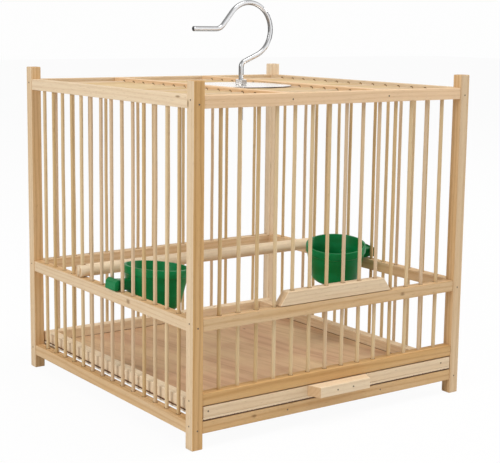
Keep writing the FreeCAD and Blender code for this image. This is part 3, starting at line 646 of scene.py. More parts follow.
# %% A Geometry Nodes tree
class Shape(Tree):
    """A Geometry Nodes tree with named inputs."""

    def __init__(self, name):
        super().__init__(bpy.data.node_groups.new(name, "GeometryNodeTree"))
        self.tree.interface.new_socket("Geometry", in_out="OUTPUT", socket_type="NodeSocketGeometry")
        self.keys = {}

    def inputs(self, **kinds):
        for name, kind in kinds.items():
            socket = self.tree.interface.new_socket(name, in_out="INPUT", socket_type="NodeSocket" + kind)
            self.keys[name] = socket.identifier
        return self.add("NodeGroupInput", output=tuple(kinds))

    def step(self, kind, geometry, **values):
        """One step of work on the geometry."""
        inputs = {name.replace("_", " "): value for name, value in values.items()}
        return self.add("GeometryNode" + kind, None, {0: geometry, **inputs})

    def store(self, geometry, name, value, kind="FLOAT", domain="POINT"):
        inputs = {"Geometry": geometry, "Name": name, "Value": value}
        return self.add("GeometryNodeStoreNamedAttribute", {"data_type": kind, "domain": domain}, inputs)

    def stored(self, name, kind="FLOAT"):
        return self.add("GeometryNodeInputNamedAttribute", {"data_type": kind}, {"Name": name})

    def finish(self, geometry, material):
        geometry = self.step("RealizeInstances", geometry)
        geometry = self.step("SetMaterial", geometry, Material=material)
        self.add("NodeGroupOutput", None, {"Geometry": geometry})

    def make(self, name, mesh=None, **values):
        """Runs the tree on an object and returns a plain mesh."""
        carrier = hold(name, mesh or bpy.data.meshes.new(name))
        modifier = carrier.modifiers.new("shape", "NODES")
        modifier.node_group = self.tree
        for key, value in values.items():
            modifier[self.keys[key]] = value
        result = plain_mesh(carrier)
        carrier.modifiers.remove(modifier)
        bpy.data.objects.remove(carrier)
        return result


print("geometry trees are ready")

# %% Stand the sticks in a row
row = Shape("stick_row")
row_count, row_pitch, row_length, row_radius, row_bow, row_seed, row_finish = row.inputs(
    Count="Int", Pitch="Float", Length="Float", Radius="Float", Bow="Float", Seed="Float", Finish="Material",
)
row_points = row.add("GeometryNodeMeshLine", None, {"Count": row_count, "Offset": row.triple(row_pitch)})
row_top = row.triple(0.0, 0.0, row_length)
row_line = row.add("GeometryNodeCurvePrimitiveLine", None, {"Start": (0, 0, 0), "End": row_top})
row_line = row.step("ResampleCurve", row_line, Count=22)
row_sticks = row.step("InstanceOnPoints", row_points, Instance=row_line)
row_index = row.add("GeometryNodeInputIndex")
row_sticks = row.store(row_sticks, "stick", row_index, domain="INSTANCE")
row_sticks = row.step("RealizeInstances", row_sticks)
row_stick = row.stored("stick")
row_x, row_y, row_z = row.split(row.add("GeometryNodeInputPosition"))
print("stick row inputs:", list(row.keys))

# %% Bow and sweep the sticks
row_share = row_z / row_length
row_sample = row.triple(row_stick * 5.31 + row_seed, row_share * 2.1, row_seed)
row_inputs = {"Vector": row_sample, "Scale": 1.0, "Detail": 1.0}
row_noise = row.add("ShaderNodeTexNoise", None, row_inputs, output="Color")
row_lean = row.vector("SUBTRACT", row_noise, (0.5, 0.5, 0.5))
row_reach = row_share * (1 - row_share) * 4 * row_bow
row_shift = row.vector("MULTIPLY", row_lean, row.triple(row_reach, row_reach))
row_sticks = row.step("SetPosition", row_sticks, Offset=row_shift)
row_circle = row.add("GeometryNodeCurvePrimitiveCircle", None, {"Resolution": 12, "Radius": row_radius})
row_mesh = row.step("CurveToMesh", row_sticks, Profile_Curve=row_circle, Fill_Caps=True)
row_chance = {"tone": row_stick + row_seed, "hue": row_stick * 1.7 + row_seed + 0.4}
for name, number in row_chance.items():
    chance = row.add("ShaderNodeTexWhiteNoise", {"noise_dimensions": "1D"}, {"W": number})
    row_mesh = row.store(row_mesh, name, chance)
row_grain = row.triple(row_z + row_stick * 0.317, row_x, row_y)
row_mesh = row.store(row_mesh, "grain", row_grain, "FLOAT_VECTOR")
row.finish(row_mesh, row_finish)
print("nodes in the row:", len(row.tree.nodes))

# %% Set out the rows
STICK_RADIUS = 1.13 * MM
# Sticks in each row, the way that it faces in degrees, its bow in millimetres and its seed.
ROWS = {
    "left_wall_bars": (SIDE_STICKS, 90, 0.9, 3),
    "right_wall_bars": (SIDE_STICKS, -90, 0.9, 7),
    "rear_wall_bars": (SIDE_STICKS, 180, 1.1, 11),
    "front_bars_left": (4, 0, 0.9, 15),
    "front_bars_right": (4, 0, 0.9, 19),
    "front_sill_bars": (6, 0, 0.5, 23),
    "door_bars": (DOOR_STICKS, 0, 0.3, 27),
    "roof_bars": (SIDE_STICKS, 90, 0.4, 31),
}


def turned(angle, axis):
    return Matrix.Rotation(math.radians(angle), 4, axis)


for node, (count, angle, bow, seed) in ROWS.items():
    low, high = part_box(node)
    along, lie = (X, 90) if node == "roof_bars" else (Z, 0)
    foot = (low + high) / 2
    foot[along] = low[along]
    mesh = row.make(
        node + "_row", Count=count, Pitch=PITCH, Length=high[along] - low[along], Radius=STICK_RADIUS,
        Bow=bow * MM, Seed=float(seed), Finish=bamboo.material,
    )
    first = Matrix.Translation((row_places(count)[0], 0, 0))
    mesh.transform(Matrix.Translation(foot) @ turned(angle, "Z") @ turned(lie, "X") @ first)
    shade(mesh, lambda face: len(face.vertices) == 4)
    settle(node + "_row", mesh, node)
print("rows of sticks:", len(ROWS))

# %% [markdown]
# ## The tray
#
# The floor is thin plywood that slides on two runners. Its face is a brown veneer with slanting flames and fine
# lines of grain, and a band of painted shade along the right and back walls. Its sawn edge is dark, with a ragged
# darker band along its upper part; the lower part of the left edge is pale as painted light, and along the front a
# pale lip has a line of painted shadow at its foot. Photographs of veneer would show their seams, so the flames
# are a sine wave that noise pushes about. The walls and the front strip are cut from a paler wood than the cage.

# %% Veneer
PLY_PALE, PLY_ROSE, PLY_DARK = (0.66, 0.465, 0.265), (0.575, 0.355, 0.21), (0.34, 0.185, 0.095)
PLY_FLECK = (0.12, 0.06, 0.03)
FLAME_WIDTH = 13 * MM
FLAME_WANDER = 70 * MM
FLAME_TURN = (0, 0, math.radians(80))
ply = Finish("plywood")
ply_spot = ply.place()
ply_turn = ply.add("ShaderNodeMapping", {"vector_type": "POINT"}, {"Vector": ply_spot, "Rotation": FLAME_TURN})
ply_wave = (ply.mottle(ply_turn, (7, 15, 15), 3.0) - 0.5) * FLAME_WANDER
ply_across, ply_up = ply.split(ply_turn)[1:]
ply_flame = ((ply_across + ply_wave) * (math.tau / FLAME_WIDTH)).sine() * 0.5 + 0.5
ply_patch = ply.mottle(ply_turn, (18, 45, 45), 4.0)
ply_fine = ply.mottle(ply_turn, (60, 1500, 1500), 3.0)
ply_line = ply.mottle(ply_turn, (16, 420, 420), 3.0)
ply_fleck = ply.spot(ply_spot, (38.8, 47.4, 18.3), (1.2, 2.6, 2.0), (ply_fine - 0.5) * 1.5)
ply_face = ply.paint(
    PLY_PALE,
    (ply_patch.between(0.3, 0.7), PLY_ROSE),
    (ply_flame ** 2 * (ply_patch.between(0.4, 0.65) * 0.3), PLY_DARK),
    (ply_line.between(0.48, 0.72) * (ply_patch * 0.5 + 0.08), PLY_DARK),
    (ply_fine.between(0.55, 0.8) * 0.25, PLY_DARK),
    (ply_fleck * 0.8, PLY_FLECK),
)
ply.set(Roughness=ply_fine * 0.2 + 0.55, Specular_IOR_Level=0.3)
ply.bump(ply_fine + ply_flame * 0.4, 0.35, 0.15 * MM)
print("veneer lines every", FLAME_WIDTH / MM, "mm")

# %% Painted shade at the walls, and the sawn edge
PLY_LIT_SKIN, PLY_DARK_BAND, PLY_UNDER = (0.86, 0.76, 0.60), (0.12, 0.055, 0.03), (0.22, 0.11, 0.055)
PLY_LIP, PLY_LIP_SHADE, PLY_SHADE = (0.78, 0.61, 0.41), (0.09, 0.04, 0.02), (0.14, 0.07, 0.035)
floor_low, floor_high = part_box("tray_floor")
ply_third = (floor_high.z - floor_low.z) / 3
ply_x, ply_y = ply.split(ply_spot)[:2]


def rises(signal, edge, start, end):
    """0 to 1 across a band that starts and ends this many millimetres past an edge."""
    return signal.between(edge + start * MM, edge + end * MM)


ply_right, ply_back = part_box("tray_right_wall")[0].x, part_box("tray_back_wall")[0].y
# Painted shade: the veneer darkens over the last millimetre before the right and back walls.
ply_wall_shade = rises(ply_x, ply_right, -1.0, -0.5).most(rises(ply_y, ply_back, -1.0, -0.5))
ply_ragged = ply_up + (ply.mottle(ply_spot, (900, 900, 300), 3.0) - 0.5) * (0.9 * MM)
# The upper part of every sawn edge is a ragged dark band.
ply_dark_band = ply_ragged.between(floor_low.z + 1.5 * ply_third, floor_low.z + 1.8 * ply_third)
ply_left = 1 - rises(ply_x, floor_low.x, 0.2, 0.6)
ply_front = 1 - rises(ply_y, floor_low.y, 0.2, 0.6)
# Painted shadow: the front lip is dark along its foot, where it nearly touches the bottom rail.
ply_lip = ply.paint(PLY_LIP_SHADE, (rises(ply_ragged, floor_low.z, 0.45, 0.85), PLY_LIP))
# Painted light: the lower part of the left edge is pale, as the left lamp lights it.
ply_layers = ply.paint(PLY_UNDER, (ply_left, PLY_LIT_SKIN), (ply_dark_band, PLY_DARK_BAND), (ply_front, ply_lip))
ply_colour = ply.paint(ply_face, (ply_wall_shade * 0.85, PLY_SHADE), (ply.attribute("edge"), ply_layers))
ply.set(Base_Color=ply_colour)
print("layers of", round(ply_third / MM, 2), "mm")

# %% Floor, walls, strip and handle of the tray
# Depth of colour of each tray piece: all its faces but the left one, then the left one, as painted light and shade.
TRAY_TONES_AND_LEFT_LIGHT = {
    "tray_left_wall": (-0.3, -0.45), "tray_right_wall": (0.5, 0.35), "tray_back_wall": (0.15, 0.3),
}
floor_form = plane_block(floor_low, floor_high, 0.12 * MM, 61, waves=0.1 * MM)[0]
floor_board = mesh_of(floor_form, "tray_floor_board")
note(floor_board, "edge", [1.0 if abs(face.normal.z) < 0.6 else 0.0 for face in floor_board.polygons])
settle("tray_floor_board", floor_board, "tray_floor", ply.material)
strip("tray_front_strip", tray_wood, (0.38, 0.38), 71, ease=0.2 * MM, shaved=0.3 * MM)
for seed, (node, tones_and_left_light) in enumerate(TRAY_TONES_AND_LEFT_LIGHT.items(), start=72):
    strip(node, tray_wood, tones_and_left_light, seed, ease=0.35 * MM)
strip("tray_handle", tray_wood, (0.15, 0.7), 76, ease=0.4 * MM, slant=(Y, -1, 3.4 * MM))
print("tray pieces:", len(TRAY_TONES_AND_LEFT_LIGHT) + 3)

# %% [markdown]
# ## The perch
#
# The perch is a thicker stick with a slot sawn into each end, so that it straddles a bar on each side. A cylinder
# would be too true for a whittled stick, so rings of corners are set along it, each a little uneven, and joined
# by faces. Two thin blocks are then taken away from its ends.

# %% Rings of corners
def ring(form, sides, place):
    """A ring of corners: the place is worked out from each corner's angle."""
    return [form.verts.new(place(math.tau * step / sides)) for step in range(sides)]


def skin(form, rings, closed=False):
    """Joins rings by faces, from the last to the first too if closed. A ring of one corner is a pole."""
    faces = []
    following = rings[1:] + rings[:1] if closed else rings[1:]
    for one, two in zip(rings, following):
        sides = max(len(one), len(two))
        for step in range(sides):
            walk = ((one, step), (one, step + 1), (two, step + 1), (two, step))
            corners = dict.fromkeys(corners[number % len(corners)] for corners, number in walk)
            faces.append(form.faces.new(list(corners)))
    return faces


print("rings can be skinned")

# %% Perch
PERCH_RINGS, PERCH_SIDES = 24, 28
PERCH_EASE, END_SHARE = 0.4 * MM, 0.93
UNEVENNESS, BUMPS_PER_METRE = 0.02, 30
SLOT_WIDTH = 3.0 * MM
SLOT_PLAY = 0.3 * MM
# Half the width of a solid bar over its corners, and the line that the side bars stand on.
SOLID_BAR = 1.386 * MM
SIDE_LINE = -rail_middle.y
perch_low, perch_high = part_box("perch")
perch_middle = (perch_low + perch_high) / 2
perch_radius = (perch_high.z - perch_low.z) / 2
half = (perch_high.x - perch_low.x) / 2
stations = [(-half, END_SHARE), (-half + PERCH_EASE, 1.0)]
stations += [(-half + 2 * half * number / PERCH_RINGS, 1.0) for number in range(1, PERCH_RINGS)]
stations += [(half - PERCH_EASE, 1.0), (half, END_SHARE)]


def dowel_corner(offset, share, angle):
    sample = Vector((offset * BUMPS_PER_METRE, math.cos(angle), math.sin(angle)))
    radius = perch_radius * share * (1 - UNEVENNESS * abs(noise.noise(sample)))
    return perch_middle + Vector((offset, radius * math.cos(angle), radius * math.sin(angle)))


dowel = bmesh.new()
rings = [ring(dowel, PERCH_SIDES, lambda angle: dowel_corner(*station, angle)) for station in stations]
skin(dowel, rings)
for end in (rings[0], rings[-1]):
    dowel.faces.new(end)
bmesh.ops.triangulate(dowel, faces=dowel.faces)
saw = bmesh.new()
saw_size = Vector((10, SLOT_WIDTH / MM, 20)) * MM
saw_reach = SIDE_LINE - SOLID_BAR - SLOT_PLAY + saw_size.x / 2
for side in (-1, 1):
    saw_place = Vector((side * saw_reach, perch_middle.y, perch_middle.z))
    bmesh.ops.create_cube(saw, size=1, matrix=Matrix.LocRotScale(saw_place, None, saw_size))
slotted = cut(mesh_of(dowel, "perch_dowel"), saw)
give_grain(slotted, X, perch_middle, 91, (-0.35, 1.0))
shade(slotted, lambda face: abs(face.normal.x) < 0.5)
settle("perch_dowel", slotted, "perch", tray_wood)
print("perch", round(2 * half / MM, 1), "mm long")

# %% [markdown]
# ## The hook
#
# The hook is bright bent wire. A curve with a round bevel would do, but it can't carry a thread. So the middle
# line is worked out as straight runs joined by arcs, all in one upright plane, and a ring of corners is carried
# along it without twisting. Up to a little above the roof the ring's radius goes in and out as a thread, and both
# ends are cut square with a small round edge. Along both flanks the wire is painted dark and made rougher, as a
# painted reflection of dark surroundings, which `painted_dark_reflection` says.

# %% Bright metal
WIRE_BRIGHT, WIRE_HAZE, WIRE_PAINTED_DARK = (0.86, 0.86, 0.87), (0.80, 0.80, 0.81), (0.23, 0.23, 0.23)
PLATE_BRIGHT, PLATE_SMEAR, PLATE_RIM_SHADE = (0.94, 0.90, 0.85), (0.80, 0.71, 0.61), (0.10, 0.08, 0.07)
bright = Finish("bright_wire")
bright_haze = bright.mottle(bright.place(), 900.0)
bright_painted_dark = bright.attribute("painted_dark_reflection")
# Painted reflection: the flanks are painted dark, as if they mirrored dark surroundings.
bright_tone = bright.paint(WIRE_BRIGHT, (bright_haze.between(0.4, 0.7), WIRE_HAZE), (bright_painted_dark, WIRE_PAINTED_DARK))
bright.set(Base_Color=bright_tone, Metallic=1.0, Roughness=bright_painted_dark * 0.2 + bright_haze * 0.1 + 0.04)

plate = Finish("bright_plate")
plate_spot = plate.place()
plate_x, plate_y = plate.split(plate_spot)[:2]
plate_reach = (plate_x * plate_x + plate_y * plate_y) ** 0.5
plate_cloud = plate.mottle(plate_spot, 70.0, 3.0)
plate_turns = plate.mottle(plate.triple(plate_reach * 2600, plate_cloud * 2), 1.0)
plate_smear = plate_turns * 0.5 + plate_cloud * 0.5
plate_haze = plate_smear.between(0.42, 0.68) * 0.6
# Painted shade: the rims of the plate and washer are painted nearly black.
plate_tone = plate.paint(PLATE_BRIGHT, (plate_haze, PLATE_SMEAR), (plate.attribute("edge"), PLATE_RIM_SHADE))
plate.set(Base_Color=plate_tone, Metallic=1.0, Roughness=plate_smear * 0.2 + 0.12)
print("metal finishes:", bright.material.name, plate.material.name)

# %% The wire's middle line
def hook_line():
    """Points along the wire's middle line, in millimetres from the roof's top, in the plane of X and Z."""
    rise, fall = math.radians(23), math.radians(50)
    loop, loop_radius = Vector((5.6, 34)), 17.3
    tip, tail, thread_end = Vector((-37, 34.5)), Vector((0, -24)), Vector((0, 6))
    bend_radius, tip_radius = 4.0, 7.0
    climb = Vector((math.cos(rise), math.sin(rise)))
    drop = Vector((math.cos(fall), math.sin(fall)))
    loop_start = loop + Vector((climb.y, -climb.x)) * loop_radius
    loop_end = loop + Vector((-drop.y, drop.x)) * loop_radius
    corner = loop_start - climb * (loop_start.x / climb.x)
    run = bend_radius * math.tan((math.pi / 2 - rise) / 2)
    bend_start = corner - Vector((0, run))
    tip_corner = loop_end - drop * ((loop_end.y - tip.y) / drop.y)
    tip_run = tip_radius * math.tan(fall / 2)
    tip_start = tip_corner - Vector((tip_run, 0))
    points = []

    def straight(first, last, step=1.0):
        count = max(1, round((last - first).length / step))
        points.extend(first.lerp(last, number / count) for number in range(count))

    def arc(centre, radius, first, last):
        count = max(4, round(abs(last - first) / 0.07))
        for number in range(count):
            angle = first + (last - first) * number / count
            points.append(centre + Vector((math.cos(angle), math.sin(angle))) * radius)

    straight(tail, thread_end, 0.1)
    straight(thread_end, bend_start)
    arc(bend_start + Vector((bend_radius, 0)), bend_radius, math.pi, math.pi / 2 + rise)
    straight(corner + climb * run, loop_start)
    arc(loop, loop_radius, rise - math.pi / 2, math.pi / 2 + fall)
    straight(loop_end, tip_corner + drop * tip_run)
    arc(tip_start + Vector((0, tip_radius)), tip_radius, fall - math.pi / 2, -math.pi / 2)
    straight(tip_start, tip)
    points.append(tip)
    return points


line = hook_line()
print("wire points:", len(line))

# %% Bend the wire
WIRE_RADIUS = 1.6 * MM
WIRE_SIDES = 20
ROOF_TOP = rail_high.z
# The thread's top and pitch are in millimetres, as the middle line is.
THREAD_TOP, THREAD_PITCH, THREAD_DEPTH = 5.0, 0.7, 0.16 * MM
FLANK_EDGE, FLANK_FADE = 0.95, 0.23


def wire_ring(form, number):
    """The ring of corners round one point of the middle line."""
    point = line[number]
    heading = (line[min(number + 1, len(line) - 1)] - line[max(number - 1, 0)]).normalized()
    threaded = point.y < THREAD_TOP and abs(point.x) < 0.01

    def corner(angle):
        radius = WIRE_RADIUS
        if threaded:
            turns = point.y / THREAD_PITCH + angle / math.tau
            radius -= THREAD_DEPTH * (0.5 + 0.5 * math.cos(math.tau * turns))
        out = radius * math.cos(angle)
        height = ROOF_TOP + point.y * MM + heading.x * out
        return (point.x * MM - heading.y * out, radius * math.sin(angle), height)

    return ring(form, WIRE_SIDES, corner)


wire_form = bmesh.new()
wire_rings = [wire_ring(wire_form, number) for number in range(len(line))]
skin(wire_form, wire_rings)
caps = [wire_form.faces.new(wire_rings[0]), wire_form.faces.new(wire_rings[-1])]
rim = [edge for cap in caps for edge in cap.edges]
bmesh.ops.bevel(wire_form, geom=rim, offset=0.25 * MM, segments=2, affect="EDGES")
wire = mesh_of(wire_form, "hook_bent_wire")
# Painted reflection: dark where the wire's round faces lie in the plane of the bend, bright on its two sides.
painted_darks = [(FLANK_EDGE - abs(point.co.y) / WIRE_RADIUS) / FLANK_FADE for point in wire.vertices]
note(wire, "painted_dark_reflection", [min(max(painted_dark_reflection, 0), 1) for painted_dark_reflection in painted_darks], "POINT")
shade(wire, lambda face: len(face.vertices) == 4)
settle("hook_bent_wire", wire, "hook_wire", bright.material)
print("wire faces:", len(wire.polygons))

# %% [markdown]
# ## Plate, washer and nuts
#
# A round plate on the roof bars and a washer under them carry the hook between two nuts. Cylinders with a hole
# would do from afar, but their rims would be sharp. All four are turned pieces here: a profile of radii and heights
# is spun round the hook's axis. A hexagon is the same with its radius held back by the flats, which leaves the
# curved chamfer that a real nut has.

# %% Spin a profile
SIXTH = math.pi / 3


def spin(profile, sides, x=0.0, flats=math.inf, closed=True):
    """A form spun from radii and heights round an upright axis, with a hexagon's flats if they are given."""
    form = bmesh.new()

    def place(angle, radius, height):
        radius = min(radius, flats / math.cos(angle % SIXTH - SIXTH / 2))
        return (x + radius * math.cos(angle), radius * math.sin(angle), height)

    rings = [ring(form, sides if point[0] else 1, lambda angle: place(angle, *point)) for point in profile]
    skin(form, rings, closed)
    return form


def smooth(mesh, degrees):
    """Shades a mesh round, apart from edges that are sharper than an angle."""
    shade(mesh, lambda face: True)
    mesh.set_sharp_from_angle(angle=math.radians(degrees))


print("profiles can be spun")

# %% Plate and washer
BORE = WIRE_RADIUS + 0.05 * MM


def disc(name, node):
    low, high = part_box(node)
    outer, ease = high.x, (high.z - low.z) / 4
    profile = (
        (BORE, low.z), (outer - ease, low.z), (outer, low.z + ease),
        (outer, high.z - ease), (outer - ease, high.z), (BORE, high.z),
    )
    mesh = mesh_of(spin(profile, sides=96), name)
    note(mesh, "edge", [1.0 if abs(face.normal.z) < 0.9 else 0.0 for face in mesh.polygons])
    smooth(mesh, degrees=40)
    settle(name, mesh, node, plate.material)


disc("hook_round_plate", "hook_plate")
disc("hook_under_washer", "hook_lower_washer")
print("bore", round(2 * BORE / MM, 2), "mm")

# %% Nuts
CHAMFER = 0.3 * MM
FACE_SHARE = 0.95
# Painted reflection and shade on the nuts: sides darker than the ends, left-facing sides darkest, right-facing
# lightest.
END_PAINTED_DARK, SIDE_PAINTED_DARK, LIT_SIDE = 0.1, 0.55, 0.3


def hexagon_nut(name, node):
    low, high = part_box(node)
    flats = (high.y - low.y) / 2
    corner, face_edge = flats / math.cos(SIXTH / 2), flats * FACE_SHARE
    profile = (
        (BORE, low.z), (face_edge, low.z), (corner, low.z + CHAMFER), (corner, high.z - CHAMFER),
        (face_edge, high.z), (BORE + CHAMFER, high.z), (BORE, high.z - CHAMFER),
    )
    mesh = mesh_of(spin(profile, sides=48, flats=flats), name)
    smooth(mesh, degrees=25)
    ways = [face.normal for face in mesh.polygons]
    note(mesh, "painted_dark_reflection", [END_PAINTED_DARK if abs(way.z) > 0.6 else SIDE_PAINTED_DARK - LIT_SIDE * way.x for way in ways])
    settle(name, mesh, node, bright.material)


hexagon_nut("hook_top_hexagon", "hook_top_nut")
hexagon_nut("hook_lock_hexagon", "hook_lock_nut")
print("nuts with chamfers of", CHAMFER / MM, "mm")

# %% [markdown]
# ## The cups
#
# Both cups come from one mould: a bowl with a thicker band at its rim, and a lug whose flat head hooks behind two
# bars. A bowl could be a sheet with a Solidify modifier, but then band and base would be as thin as the wall. So
# one profile goes up outside and down inside, and is spun round the bowl's axis. The cup is made upright at the
# origin, in millimetres, then tipped and set where the solid hangs.

# %% Green plastic
GREEN_DEEP, GREEN_BRIGHT = (0.002, 0.155, 0.036), (0.003, 0.200, 0.058)
green = Finish("green_plastic")
green_spot = green.place()
green_flow = green.mottle(green_spot, (60, 60, 160), 3.0)
green_scuff = green.mottle(green_spot, 1400.0, 3.0)
green_colour = green.paint(GREEN_DEEP, (green_flow.between(0.35, 0.7), GREEN_BRIGHT))
green.set(Base_Color=green_colour, Roughness=green_scuff * 0.16 + 0.22, Specular_IOR_Level=0.13)
green.bump(green_flow + green_scuff * 0.2, 0.08, 0.3 * MM)
print("finish:", green.material.name)

# %% Profile of the bowl
CUP_REACH = 27.5
CUP_RIM, CUP_BAND, CUP_STEP = 20.5, 5.0, 0.7
CUP_FOOT, CUP_CORNER, CUP_WALL = 16.9, 6.5, 1.3
CUP_TOP, CUP_HEIGHT = 14.0, 26.6
CORNER_STEPS, CORNER_TURN = 8, math.radians(80)


def cup_corner(reach, base, radius):
    """The round corner between base and wall, from the base up."""
    turns = [CORNER_TURN * number / CORNER_STEPS - math.pi / 2 for number in range(CORNER_STEPS + 1)]
    return [(reach + radius * (math.cos(turn) - 1), base + radius * (math.sin(turn) + 1)) for turn in turns]


def cup_profile():
    """Radius and height round the bowl, from the middle of the base outside to its middle inside."""
    rim, top, inside = CUP_RIM, CUP_TOP, CUP_RIM - CUP_WALL
    base, band, body = top - CUP_HEIGHT, top - CUP_BAND, rim - CUP_STEP
    points = [(0.0, base + 0.5), (8.0, base + 0.5), (9.0, base)]
    points += cup_corner(CUP_FOOT, base, CUP_CORNER)
    points += [(body - 0.15, band - 1.0), (body, band - 0.35), (rim - 0.25, band), (rim, band + 0.3)]
    points += [(rim, top - 0.5), (rim - 0.2, top - 0.12), (rim - 0.6, top)]
    points += [(inside - 0.1, top), (inside - 0.4, top - 0.4)]
    points += cup_corner(CUP_FOOT - CUP_WALL, base + CUP_WALL, CUP_CORNER - CUP_WALL * 0.7)[::-1]
    return points + [(0.0, base + CUP_WALL)]


print("points on the profile:", len(cup_profile()))

# %% Lug with a flat head
NECK_HALF, NECK_HEIGHT, NECK_EASE = 3.8, 6.0, 0.5
HEAD_HALF, HEAD_HEIGHT, HEAD_EASE = 6.3, 6.8, 0.35
HEAD_THICKNESS, HEAD_SLOPE = 2.6, 2.0
# How far the neck runs into the bowl and into the head, and the play between bar and head.
BOWL_SINK, HEAD_SINK, HANG_PLAY = 2.6, 0.6, 0.6
HEAD_INNER = SOLID_BAR / MM + HANG_PLAY


def lug_block(form, start, end, half, height, ease, slope=0.0):
    """A moulded block with rounded edges, added to a form, with its outer top edge sloped if asked."""
    profile = [(start, 0), (end, 0), (end, height - slope), (end - slope, height), (start, height)]
    near, far = ([form.verts.new((x, y, z)) for x, z in dict.fromkeys(profile)] for y in (-half, half))
    faces = [form.faces.new(near), form.faces.new(far[::-1])] + skin(form, [far, near])
    edges = {edge: None for face in faces for edge in face.edges}
    bmesh.ops.bevel(form, geom=list(edges), offset=ease, segments=3, affect="EDGES")


def add_lug(form):
    bowl_end, head_end = CUP_RIM - CUP_REACH - BOWL_SINK, HEAD_INNER + HEAD_THICKNESS
    lug_block(form, bowl_end, HEAD_INNER + HEAD_SINK, NECK_HALF, NECK_HEIGHT, NECK_EASE)
    lug_block(form, HEAD_INNER, head_end, HEAD_HALF, HEAD_HEIGHT, HEAD_EASE, HEAD_SLOPE)


print("head", 2 * HEAD_HALF, "mm wide")

# %% Mould the cups
# Play between lug and rail, and half a rail's depth.
REST_PLAY, RAIL_HALF = 0.3, 3.25
# The lugs hang in the middle of the gap after the sixth bar.
CUP_LINE = (-SPAN / 2 + 6.5 * PITCH) / MM
MID_RAIL_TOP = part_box("mid_rail_left")[1].z / MM


def cup(name, node, side, droop, roll):
    """A cup on the left (-1) or right (1), its bowl drooping inwards and rolled to the front, in degrees."""
    form = spin(cup_profile(), sides=72, x=-CUP_REACH, closed=False)
    add_lug(form)
    mesh = mesh_of(form, name)
    sink, lean = math.sin(math.radians(droop)), math.sin(math.radians(roll))
    hang_x = SIDE_LINE / MM + HEAD_HEIGHT * sink
    hang_z = MID_RAIL_TOP + REST_PLAY + HEAD_HALF * lean + RAIL_HALF * sink
    tipped = turned(roll, "X") @ turned(180 if side < 0 else 0, "Z") @ turned(-droop, "Y")
    place = Matrix.Translation((side * hang_x, CUP_LINE, hang_z)) @ tipped
    mesh.transform(Matrix.Scale(MM, 4) @ place)
    weld(mesh)
    smooth(mesh, degrees=35)
    settle(name, mesh, node, green.material)
    reach = [max(point.co[axis] for point in mesh.vertices) for axis in range(3)]
    drift = max(abs(mine - solid) for mine, solid in zip(reach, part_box(node)[1]))
    print(name, "differs from its solid by", round(drift / MM, 2), "mm")


cup("seed_cup_moulding", "seed_cup", -1, droop=5, roll=0)
cup("water_cup_moulding", "water_cup", 1, droop=6, roll=8)

# %% [markdown]
# ## Nails
#
# Headless nails hold the posts, rails and tray, and only their dark, slightly rusty ends show. They could be dots
# of paint, but a nail stands a hair proud and catches light. Geometry Nodes set one pin on each of a list of points,
# turned the way that it was driven. The points come from the solid nails' own boxes.

# %% Pins on points
STEEL_DARK, STEEL_RUST = (0.10, 0.075, 0.055), (0.22, 0.16, 0.11)
steel = Finish("nail_steel")
steel_rust = steel.mottle(steel.place(), 2600.0, 3.0)
steel_colour = steel.paint(STEEL_DARK, (steel_rust, STEEL_RUST))
steel.set(Base_Color=steel_colour, Metallic=0.6, Roughness=steel_rust * 0.3 + 0.4)

pins = Shape("driven_pins")
pins_points, pins_radius, pins_length, pins_finish = pins.inputs(
    Geometry="Geometry", Radius="Float", Length="Float", Finish="Material",
)
pin_sizes = {"Vertices": 10, "Radius": pins_radius, "Depth": pins_length}
pin = pins.add("GeometryNodeMeshCylinder", None, pin_sizes)
pins_way = pins.stored("way", "FLOAT_VECTOR")
pins_turn = pins.add("FunctionNodeAlignRotationToVector", {"axis": "Z"}, {"Vector": pins_way})
pins.finish(pins.step("InstanceOnPoints", pins_points, Instance=pin, Rotation=pins_turn), pins_finish)


def pinned(name, points, ways, radius, length, finish):
    """A mesh with one pin on each point, turned its way."""
    dots = bpy.data.meshes.new(name)
    dots.from_pydata(points, [], [])
    note(dots, "way", [part for way in ways for part in way], "POINT", "FLOAT_VECTOR")
    return pins.make(name, dots, Radius=radius, Length=length, Finish=finish.material)


print("pin inputs:", list(pins.keys))

# %% Drive the nails
NAIL_RADIUS = 0.52 * MM
NAIL_LENGTH = 14.12 * MM


def solid_parts(node):
    """The box of each loose part of a solid."""
    form = bmesh.new()
    form.from_mesh(frame["nodes"][node].data)
    bmesh.ops.remove_doubles(form, verts=form.verts, dist=WELD_REACH)
    left = set(form.verts)
    boxes = []
    while left:
        group, queue = set(), [left.pop()]
        while queue:
            corner = queue.pop()
            group.add(corner)
            neighbours = {edge.other_vert(corner) for edge in corner.link_edges} & left
            left -= neighbours
            queue.extend(neighbours)
        spread = list(zip(*(corner.co for corner in group)))
        boxes.append([Vector(map(pick, spread)) for pick in (min, max)])
    form.free()
    return sorted(boxes, key=lambda box: tuple(box[0]))


def drive(name, node):
    """Pins that stand a hair proud of the faces that they were driven into."""
    centres, ways = [], []
    for low, high in solid_parts(node):
        longest = max(high - low)
        centres.append((low + high) / 2)
        ways.append([1.0 if part == longest else 0.0 for part in high - low])
    settle(name, pinned(name, centres, ways, NAIL_RADIUS, NAIL_LENGTH, steel), node)
    print(name, len(centres))


drive("frame_nails", "frame_brads")
drive("tray_nails", "tray_brads")
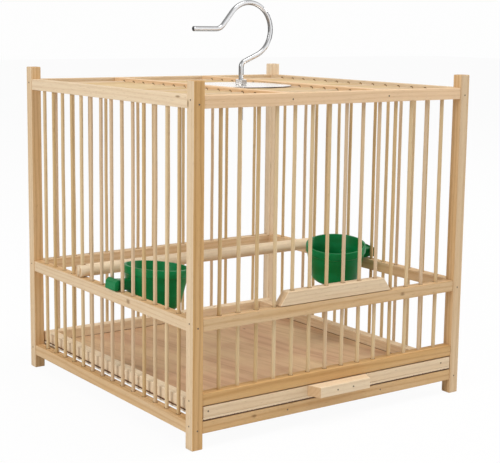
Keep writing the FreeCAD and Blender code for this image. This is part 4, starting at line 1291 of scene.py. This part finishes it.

# %% [markdown]
# ## Drilled mouths
#
# A drill leaves a mouth a little wider than the stick, dark with dust and shadow. On the roof those dark rings are
# what the eye counts the sticks by, and the walls and the door's block have them too. Every hole could be cut, but
# that would take hundreds of cuts for a ring that is thinner than a hair. The same tree as for the nails sets a
# thin dark disc round each stick where it enters a rail: painted shadow of the hole, mottled with dust.

# %% Mouths of the roof's holes
MOUTH_SHADOW, MOUTH_DUST = (0.10, 0.045, 0.015), (0.26, 0.14, 0.05)
ROOF_MOUTH, WALL_MOUTH = 1.75 * MM, 1.55 * MM
MOUTH_LENGTH = 0.12 * MM
RAIL_EASE = 0.25 * MM
mouth = Finish("drilled_mouth")
mouth_dust = mouth.mottle(mouth.place(), 1800.0)
mouth.set(Base_Color=mouth.paint(MOUTH_SHADOW, (mouth_dust, MOUTH_DUST)), Roughness=0.9)
mouth_faces = [-SPAN / 2 - RAIL_EASE, SPAN / 2 + RAIL_EASE]
for node in ("roof_cross_rail_left", "roof_cross_rail_right"):
    mouth_faces += [corner.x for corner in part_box(node)]


def open_mouths(name, points, way, radius, carrier):
    """Dark discs of painted shadow across a way, on the body of the piece that was drilled."""
    mesh = pinned(name, points, [way] * len(points), radius, MOUTH_LENGTH, mouth)
    settle(name, mesh, carrier, instead=False)
    print(name, len(points))


roof_level = sum(corner.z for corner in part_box("roof_bars")) / 2
roof_points = [(x, offset, roof_level) for x in mouth_faces for offset in row_places(SIDE_STICKS)]
open_mouths("roof_hole_mouths", roof_points, (1.0, 0.0, 0.0), ROOF_MOUTH, "roof_cross_rail_left")

# %% Mouths where the walls' sticks enter the rails
REACH_PAST = 1 * MM
SEATS = {
    "left_wall_bars": ("bottom_rail_left", "mid_rail_left", "top_rail_left"),
    "right_wall_bars": ("bottom_rail_right", "mid_rail_right", "top_rail_right"),
    "rear_wall_bars": ("bottom_rail_rear", "mid_rail_rear", "top_rail_rear"),
    "front_bars_left": ("mid_rail_front", "top_rail_front"),
    "front_bars_right": ("mid_rail_front", "top_rail_front"),
    "front_sill_bars": ("tray_lintel_rail", "mid_rail_front"),
    "door_bars": ("door_block",),
}


def wall_points(nodes):
    """The points where the sticks of these rows pass a face of a rail."""
    points = []
    for node in nodes:
        count, angle = ROWS[node][:2]
        low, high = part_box(node)
        way = turned(angle, "Z") @ Vector((1, 0, 0))
        for rail in SEATS[node]:
            under, over = (corner.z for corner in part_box(rail))
            levels = [under] if low.z < under - REACH_PAST else []
            levels += [over] if high.z > over + REACH_PAST else []
            for offset in row_places(count):
                place = (low + high) / 2 + way * offset
                points += [(place.x, place.y, height) for height in levels]
    return points


*wall_rows, door_row = SEATS
open_mouths("wall_hole_mouths", wall_points(wall_rows), (0.0, 0.0, 1.0), WALL_MOUTH, "mid_rail_front")
open_mouths("door_hole_mouths", wall_points([door_row]), (0.0, 0.0, 1.0), WALL_MOUTH, "door_block")

# %% [markdown]
# ## Count the pieces
#
# The number of finished pieces is printed.

# %% Count the pieces
print("pieces:", len(pieces))
